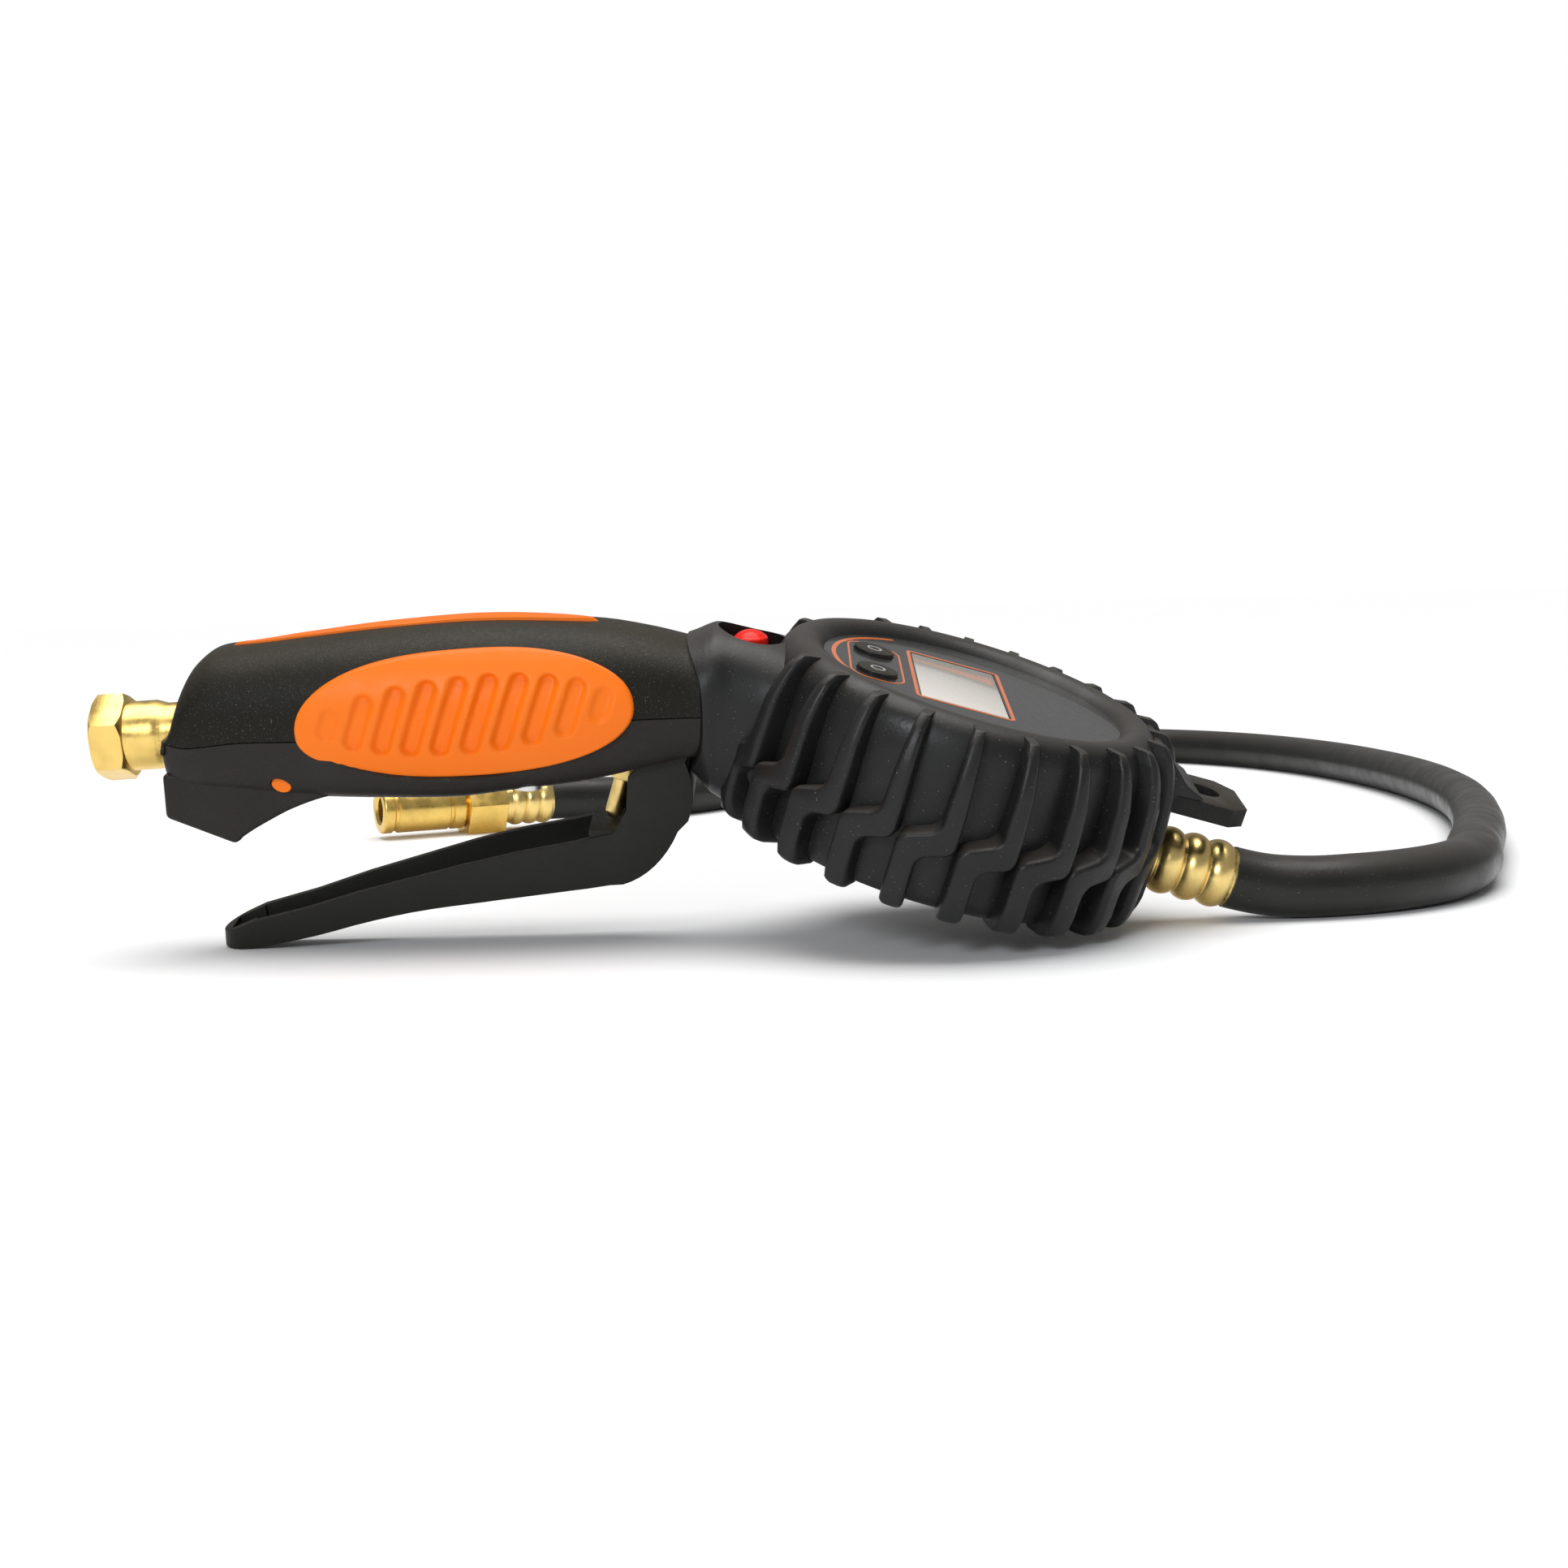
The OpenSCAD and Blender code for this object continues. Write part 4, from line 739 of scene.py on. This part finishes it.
strip = oval_cushion(160, 14, strip_outline, strip_surface, 1.9, 0.4)
piece(strip, "top_strip_shape", GUN, orange_rubber, replaced=("top_strip",))
plugs = bmesh.new()
for side in (-1, 1):
    part = turned([(0, 0.2), (2.0, 0.2), (2.2, 0), (2.2, -2.5), (0, -2.5)], 48, loop=False)
    part.transform(plug_place(side * 14.5) @ turn("X", -side * 90))
    part_mesh = bpy.data.meshes.new("part")
    part.to_mesh(part_mesh)
    part.free()
    plugs.from_mesh(part_mesh)
    bpy.data.meshes.remove(part_mesh)
piece(plugs, "side_plugs_shape", GUN, orange_rubber, replaced=("side_plugs",))

# ---------- lever, valve and inlet ----------

# How far the lever's arm is lowered, and its top trimmed, along the gun
LEVER_DROP = [(-101, 0), (-92, 0.1), (-84, 0.75), (-75, 1), (-60, 0.8), (-45, 0.5), (-30, 0.2), (-20, 0)]
LEVER_TRIM = [(-101, 0.9), (-93, 0.5), (-81, 0.5), (-69, 0.8), (-57, 1.1), (-45, 0.5), (-33, 0)]
LEVER_BOTTOM = [
    (-101, 0.3), (-92.5, 1.5), (-82.2, 4.4), (-70, 8.2), (-56.8, 11.4), (-42.7, 13.6), (-29.6, 15.2),
    (-19.2, 16.4), (-7, 18.4)
]
LEVER_NOSE = [(0, 0), (22, 0), (30, 1.4), (37, 1.4), (42, 0.7), (43, 0)]
lever_bm = from_node("lever")
lever_bm.transform(GUN.inverted())
for v in lever_bm.verts:
    x = v.co.x
    if x < -20:
        high = (v.co.z - between(LEVER_BOTTOM, x) - 2.5) / 4
        v.co.z -= between(LEVER_DROP, x) + between(LEVER_TRIM, x) * min(1.0, max(0.0, high))
    elif x > 2.5:
        v.co.x += between(LEVER_NOSE, v.co.z)
lever_shape = piece(lever_bm, "lever_shape", GUN, lever_black, "lever", replaced=("lever",))
CHANNEL = 7.4
channel_end = prism([(-98.6, 3.9), (-97.2, 2.9), (-91, 4.4), (-88, 5.2), (-88, 20), (-98.6, 20)], CHANNEL)
carved(lever_shape, tool(channel_end, GUN @ shift(0, CHANNEL / 2, 0) @ turn("X", 90)))
resoften(lever_shape, 0.55, 3)
BUTTON = GUN @ shift(18, 0, 0)
button_bm = from_node("bleed_button")
button_bm.transform(BUTTON.inverted())
for v in button_bm.verts:
    if v.co.z > 69:
        v.co.z -= 0.9
soften(button_bm, 0.5, 3)
piece(
    button_bm, "bleed_button_shape", BUTTON, red_plastic, "bleed_button", replaced=("bleed_button",),
)
AXLE = GUN @ shift(0, 0, 48) @ turn("X", 90)
pin = turned([(0, -12), (1.1, -12), (1.45, -11.6), (1.45, 11.6), (1.1, 12), (0, 12)], 48, loop=False)
piece(pin, "lever_pin_shape", AXLE, steel, replaced=("lever_pin",))
softened_node("inlet_fitting", inlet_brass, "gun", 0.45, 2)
softened_node("valve_stem", stem_brass, "valve_stem", 0.2, 2)
softened_node("gland_nut", stem_brass, "gun", 0.25, 2)

# ---------- boot ----------

BOOT_R = 43.2
drum = [
    (33.3, 2.4), (35.5, 1.6), *arc(39.0, 5.4, 4.2, -90, 0, 8), (BOOT_R, 26), (42.8, 32), (42.2, 35.6),
    (41.3, 37.9), (40.2, 39.4), (38.8, 40.4), (37.3, 40.9), (35.8, 40.8), (34.5, 40.3), (33.5, 39.4),
    (32.9, 38.7), (32.5, 38.12), (38.7, 38.1), (41.75, 26), (41.75, 4.85), (33.3, 4.85)
]
piece(turned(drum, 192), "boot_drum", DRUM, boot_rubber, replaced=("rubber_boot",))

# Radius of the ribs' backs and of the wall under them, by height
RIB_OUT = [
    (-1, 43), (0, 43.8), (0.8, 45.8), (2, 47.2), (5, 48.2), (21.5, 48.5), (30, 47.8), (35, 46.4), (38, 45),
    (40.5, 43)
]
WALL = [
    (-1, 40), (2, 40.6), (4, 42.4), (6, 43.2), (26, 43.2), (32, 42.8), (35.6, 42.2), (37.9, 41.3), (40, 39.8),
    (40.5, 39.5)
]
RIB_CUTS = (0.8, 2, 4, 6, 8, 11, 14, 17, 20, 21.5, 24, 26, 28, 30, 32, 34, 35.6, 37, 37.9, 38.8)
RIB_BLANK = 4.3
RIB_RADIUS = 46
RIB_COUNT = 24
RIB_START = 11.5
NECK_SIDE = 26
RIM_SIDE = 38.4


def tread():
    """One rib of the tread, drawn flat: a thin fin above, a step and a wide lug below."""
    outline = [
        (-9.7, 0), (-4.7, 0), (-4.7, 12.9), (2.1, 15), (2.1, 24), (1.8, 32), (1.5, 38), (1.2, 40.5),
        (-1.2, 40.5), (-1.5, 38), (-1.8, 32), (-2.1, 24), (-2.1, 19.8), (-9.7, 16.9)
    ]
    bm = bmesh.new()
    bm.faces.new([bm.verts.new((x, y, 0)) for x, y in outline])
    corners = [v for v in bm.verts if v.co.y < 25]
    bmesh.ops.bevel(bm, geom=corners, offset=2.0, segments=5, profile=0.5, affect="VERTICES", material=-1)
    raised = bmesh.ops.extrude_face_region(bm, geom=list(bm.faces))["geom"]
    tops = [f for f in raised if isinstance(f, bmesh.types.BMFace)]
    lifted_corners = [v for v in raised if isinstance(v, bmesh.types.BMVert)]
    bmesh.ops.translate(bm, verts=lifted_corners, vec=(0, 0, RIB_BLANK))
    rims = list({e for f in tops for e in f.edges})
    bmesh.ops.bevel(
        bm, geom=rims, offset=1.15, offset_type="OFFSET", segments=4, profile=0.5, affect="EDGES",
        clamp_overlap=True, material=-1
    )
    for h in RIB_CUTS:
        bmesh.ops.bisect_plane(
            bm, geom=list(bm.verts) + list(bm.edges) + list(bm.faces), plane_co=(0, h, 0), plane_no=(0, 1, 0)
        )
    bmesh.ops.recalc_face_normals(bm, faces=bm.faces)
    for v in bm.verts:
        s, z, h = v.co
        low = between(WALL, z) - 0.8
        r = low + (between(RIB_OUT, z) - low) * h / RIB_BLANK
        v.co = (r * math.cos(s / RIB_RADIUS), r * math.sin(s / RIB_RADIUS), z)
    return bm


rib = bpy.data.meshes.new("rib")
tread().to_mesh(rib)
treads = bmesh.new()
for i in range(RIB_COUNT):
    a = RIB_START + i * 360 / RIB_COUNT
    if abs(a - 180) > NECK_SIDE:
        before = len(treads.verts)
        treads.from_mesh(rib)
        treads.verts.ensure_lookup_table()
        bmesh.ops.transform(treads, matrix=turn("Z", a), verts=treads.verts[before:])
        if 125 < a < 150:
            for v in treads.verts[before:]:
                v.co.z = min(v.co.z, RIM_SIDE + 0.1 * (v.co.z - RIM_SIDE))
bpy.data.meshes.remove(rib)
piece(treads, "boot_treads", DRUM, boot_rubber, replaced=("rubber_boot",), sharp=50)

# Rows of (x, half width, top, bottom) along the neck
NECK = [
    (5.9, 16.9, 71.4, 42.5), (7.4, 17, 72.3, 40), (9, 17, 73.2, 37.6), (11, 16.8, 73.8, 36),
    (14.5, 16.7, 73.2, 33.5), (19.5, 17.2, 72, 31.5), (24.5, 18.6, 70.7, 30), (30.5, 20.5, 68.8, 29)
]
neck_rows = [[(i / (len(NECK) - 1), row[k]) for i, row in enumerate(NECK)] for k in range(4)]


def neck_where(u, v):
    """The neck's skin, which flares into a sleeve round the handle's front."""
    a = math.tau * u
    x, w, top, bottom = (curve(rows, v) for rows in neck_rows)
    c, h = (top + bottom) / 2, (top - bottom) / 2
    sleeve = (1 - v) ** 6 * (2.2 * math.cos(a) ** 2 - 1.6 * math.sin(a) ** 2)
    return Vector((x + sleeve, w * power(math.cos(a), 0.8), c + h * power(math.sin(a), 0.8)))


neck_bm = closed(formed(96, 60, neck_where))
bmesh.ops.holes_fill(neck_bm, edges=[e for e in neck_bm.edges if e.is_boundary])
neck = piece(neck_bm, "boot_neck", GUN, boot_rubber, replaced=("rubber_boot",), sharp=50)
well = prism([*arc(18.9, 0, 6.9, -90, 90, 30), *arc(17.9, 0, 6.9, 90, 270, 30)], 30)
carved(neck, tool(well, GUN @ shift(0, 0, 66)), tool(rod(5, 50, 67), BUTTON))

BRACKET_WIDTH = 23
bracket_outline = [
    (36, 20), (36, 38.2), (40.3, 38.4), (41.8, 36.9), (47.6, 31.4), (51.8, 29.6), (51.8, 29), (46, 28.9),
    (44, 20)
]
piece(
    prism(bracket_outline, BRACKET_WIDTH, 1.1, 3), "boot_bracket",
    GAUGE @ shift(0, BRACKET_WIDTH / 2, 0) @ turn("X", 90), boot_rubber, replaced=("rubber_boot",),
)

# ---------- gauge ----------

softened_node("gauge_case", case_black, "gun", 0.5, 2)
softened_node("back_cover", case_black, "gun", 0.4, 2)
softened_node("power_key", case_black, "power_key", 0.3, 3)
softened_node("unit_key", case_black, "unit_key", 0.3, 3)

FACE_Z = 37.4
KEY_TOP = 38.3


PRINT_UP = 0.01


def face_print(bm, name, finish):
    return piece(bm, name, GAUGE @ shift(0, 0, FACE_Z + PRINT_UP), finish)


def sector(r0, r1, start, end):
    """A band between two radii, from one angle to another."""
    bm = bmesh.new()
    a, b = bm.verts.new((r0, 0, 0)), bm.verts.new((r1, 0, 0))
    edge = bm.edges.new((a, b))
    bmesh.ops.spin(
        bm, geom=[a, b, edge], cent=(0, 0, 0), axis=(0, 0, 1), angle=math.radians(end - start), steps=64,
        use_merge=False
    )
    bm.transform(turn("Z", start))
    return lifted(bm)


def lifted(bm, height=0.06):
    """Gives a flat drawing the thickness of a print."""
    bmesh.ops.recalc_face_normals(bm, faces=bm.faces)
    bmesh.ops.solidify(bm, geom=list(bm.faces), thickness=height)
    for v in bm.verts:
        v.co.z = abs(v.co.z)
    bmesh.ops.recalc_face_normals(bm, faces=bm.faces)
    return bm


def round_frame(x, y, line, corner, steps=6):
    """A ring of that width round a rectangle with rounded corners."""
    bm = bmesh.new()
    rings = []
    for r in (corner, corner + line):
        ring = []
        for cx, cy, a in ((x[1], y[1], 0), (x[0], y[1], 90), (x[0], y[0], 180), (x[1], y[0], 270)):
            mx = cx + (-corner if cx == x[1] else corner)
            my = cy + (-corner if cy == y[1] else corner)
            for i in range(steps + 1):
                t = math.radians(a + 90 * i / steps)
                ring.append(bm.verts.new((mx + r * math.cos(t), my + r * math.sin(t), 0)))
        rings.append(ring)
    inner, outer = rings
    for i in range(len(inner)):
        bm.faces.new((inner[i - 1], outer[i - 1], outer[i], inner[i]))
    return lifted(bm)


DISPLAY_X = (-14.6, 4.6)
DISPLAY_Y = (-18.95, 18.95)
KEY_X, KEY_Y = -24, 9
DISPLAY_GAP = 0.1
face_arc = sector(30.9, 31.9, 122, 238)
face_arc.transform(shift(-2, 0, 0))
face_print(face_arc, "face_arc", orange_print)
display_frame = round_frame((DISPLAY_X[0] - 0.5, DISPLAY_X[1] + 0.5), (-19.6, 19.6), 0.8, 0.8)
face_print(display_frame, "display_frame", orange_print)
face_print(round_frame((-29.6, -18.3), (-15.5, 15.5), 0.45, 4.5), "key_frame", orange_print)
for y, name in ((-KEY_Y, "power_key"), (KEY_Y, "unit_key")):
    mark = round_frame((KEY_X - 1.2, KEY_X + 1.2), (y - 1.2, y + 1.2), 0.5, 1.1)
    piece(mark, name + "_mark", GAUGE @ shift(0, 0, KEY_TOP + PRINT_UP), grey_print, name)
(left, right), (near, far) = DISPLAY_X, DISPLAY_Y
lcd = prism([(left, near), (right, near), (right, far), (left, far)], 0.8, 0.15)
piece(
    lcd, "display_glass", GAUGE @ shift(0, 0, FACE_Z - 0.85), display_glass, replaced=("display_window",),
)
plate = piece(
    turned([(0, 36.6), (38.2, 36.6), (38.2, FACE_Z), (0, FACE_Z)], 128, loop=False), "face_plate_shape", GAUGE,
    face_graphite, replaced=("face_plate",)
)
window = block((left - DISPLAY_GAP, right + DISPLAY_GAP), (near - DISPLAY_GAP, far + DISPLAY_GAP), (30, 45))
carved(
    plate, tool(window, GAUGE), *[tool(rod(4.65, 30, 45), GAUGE @ shift(KEY_X, y, 0)) for y in (-KEY_Y, KEY_Y)]
)

# These nodes stay as they are and only get a finish
carried = {
    "shell_screws": steel, "inlet_filter": bronze, "air_tube": alloy, "valve_body": alloy,
    "valve_cap": stem_brass, "stem_seal": seal_rubber, "valve_spring": steel, "bleed_spring": steel,
    "bleed_seal": seal_rubber, "cover_screws": steel, "batteries": cell_jacket, "battery_contacts": steel,
    "manifold": alloy, "pressure_sensor": steel, "circuit_board": board_green, "key_switches": steel,
    "display_module": display_glass, "hose_nipple": ferrule_brass, "chuck_seal": seal_rubber,
    "chuck_pin": chuck_brass, "chuck_spring": steel,
}
for name, finish in carried.items():
    nodes[name].data.materials.clear()
    nodes[name].data.materials.append(finish.material)

# ---------- floor and light ----------

floor_bm = bmesh.new()
bmesh.ops.create_grid(floor_bm, x_segments=2, y_segments=2, size=12)
floor = piece(floor_bm, "floor", Matrix.Identity(4), floor_paint, body=None)


def lamp(name, kind, place, aim, **settings):
    data = bpy.data.lights.new(name, kind)
    for key, value in settings.items():
        setattr(data, key, value)
    made = bpy.data.objects.new(name, data)
    bpy.context.scene.collection.objects.link(made)
    made.location = place
    made.rotation_euler = (Vector(aim) - Vector(place)).to_track_quat("-Z", "Y").to_euler()
    return made


lamp("top_light", "SUN", (0, 0, 2), (0, 0, 0), energy=2.7, angle=math.radians(55))
lamp(
    "front_light", "AREA", (-0.35, -1.1, 0.55), (0.02, 0, 0.05), shape="RECTANGLE", size=0.34, size_y=0.26,
    energy=6, color=(0.93, 0.96, 1.0)
)

world = bpy.data.worlds.new("studio")
bpy.context.scene.world = world
world.use_nodes = True
sky = world.node_tree.nodes["Background"]
seen = world.node_tree.nodes.new("ShaderNodeLightPath")
strength = world.node_tree.nodes.new("ShaderNodeMapRange")
strength.inputs["To Min"].default_value = 0.3
strength.inputs["To Max"].default_value = 1.0
world.node_tree.links.new(seen.outputs["Is Camera Ray"], strength.inputs["Value"])
world.node_tree.links.new(strength.outputs["Result"], sky.inputs["Strength"])
sky.inputs["Color"].default_value = (1, 1, 1, 1)
bpy.context.scene.view_settings.view_transform = "Standard"
bpy.context.scene.view_settings.look = "None"
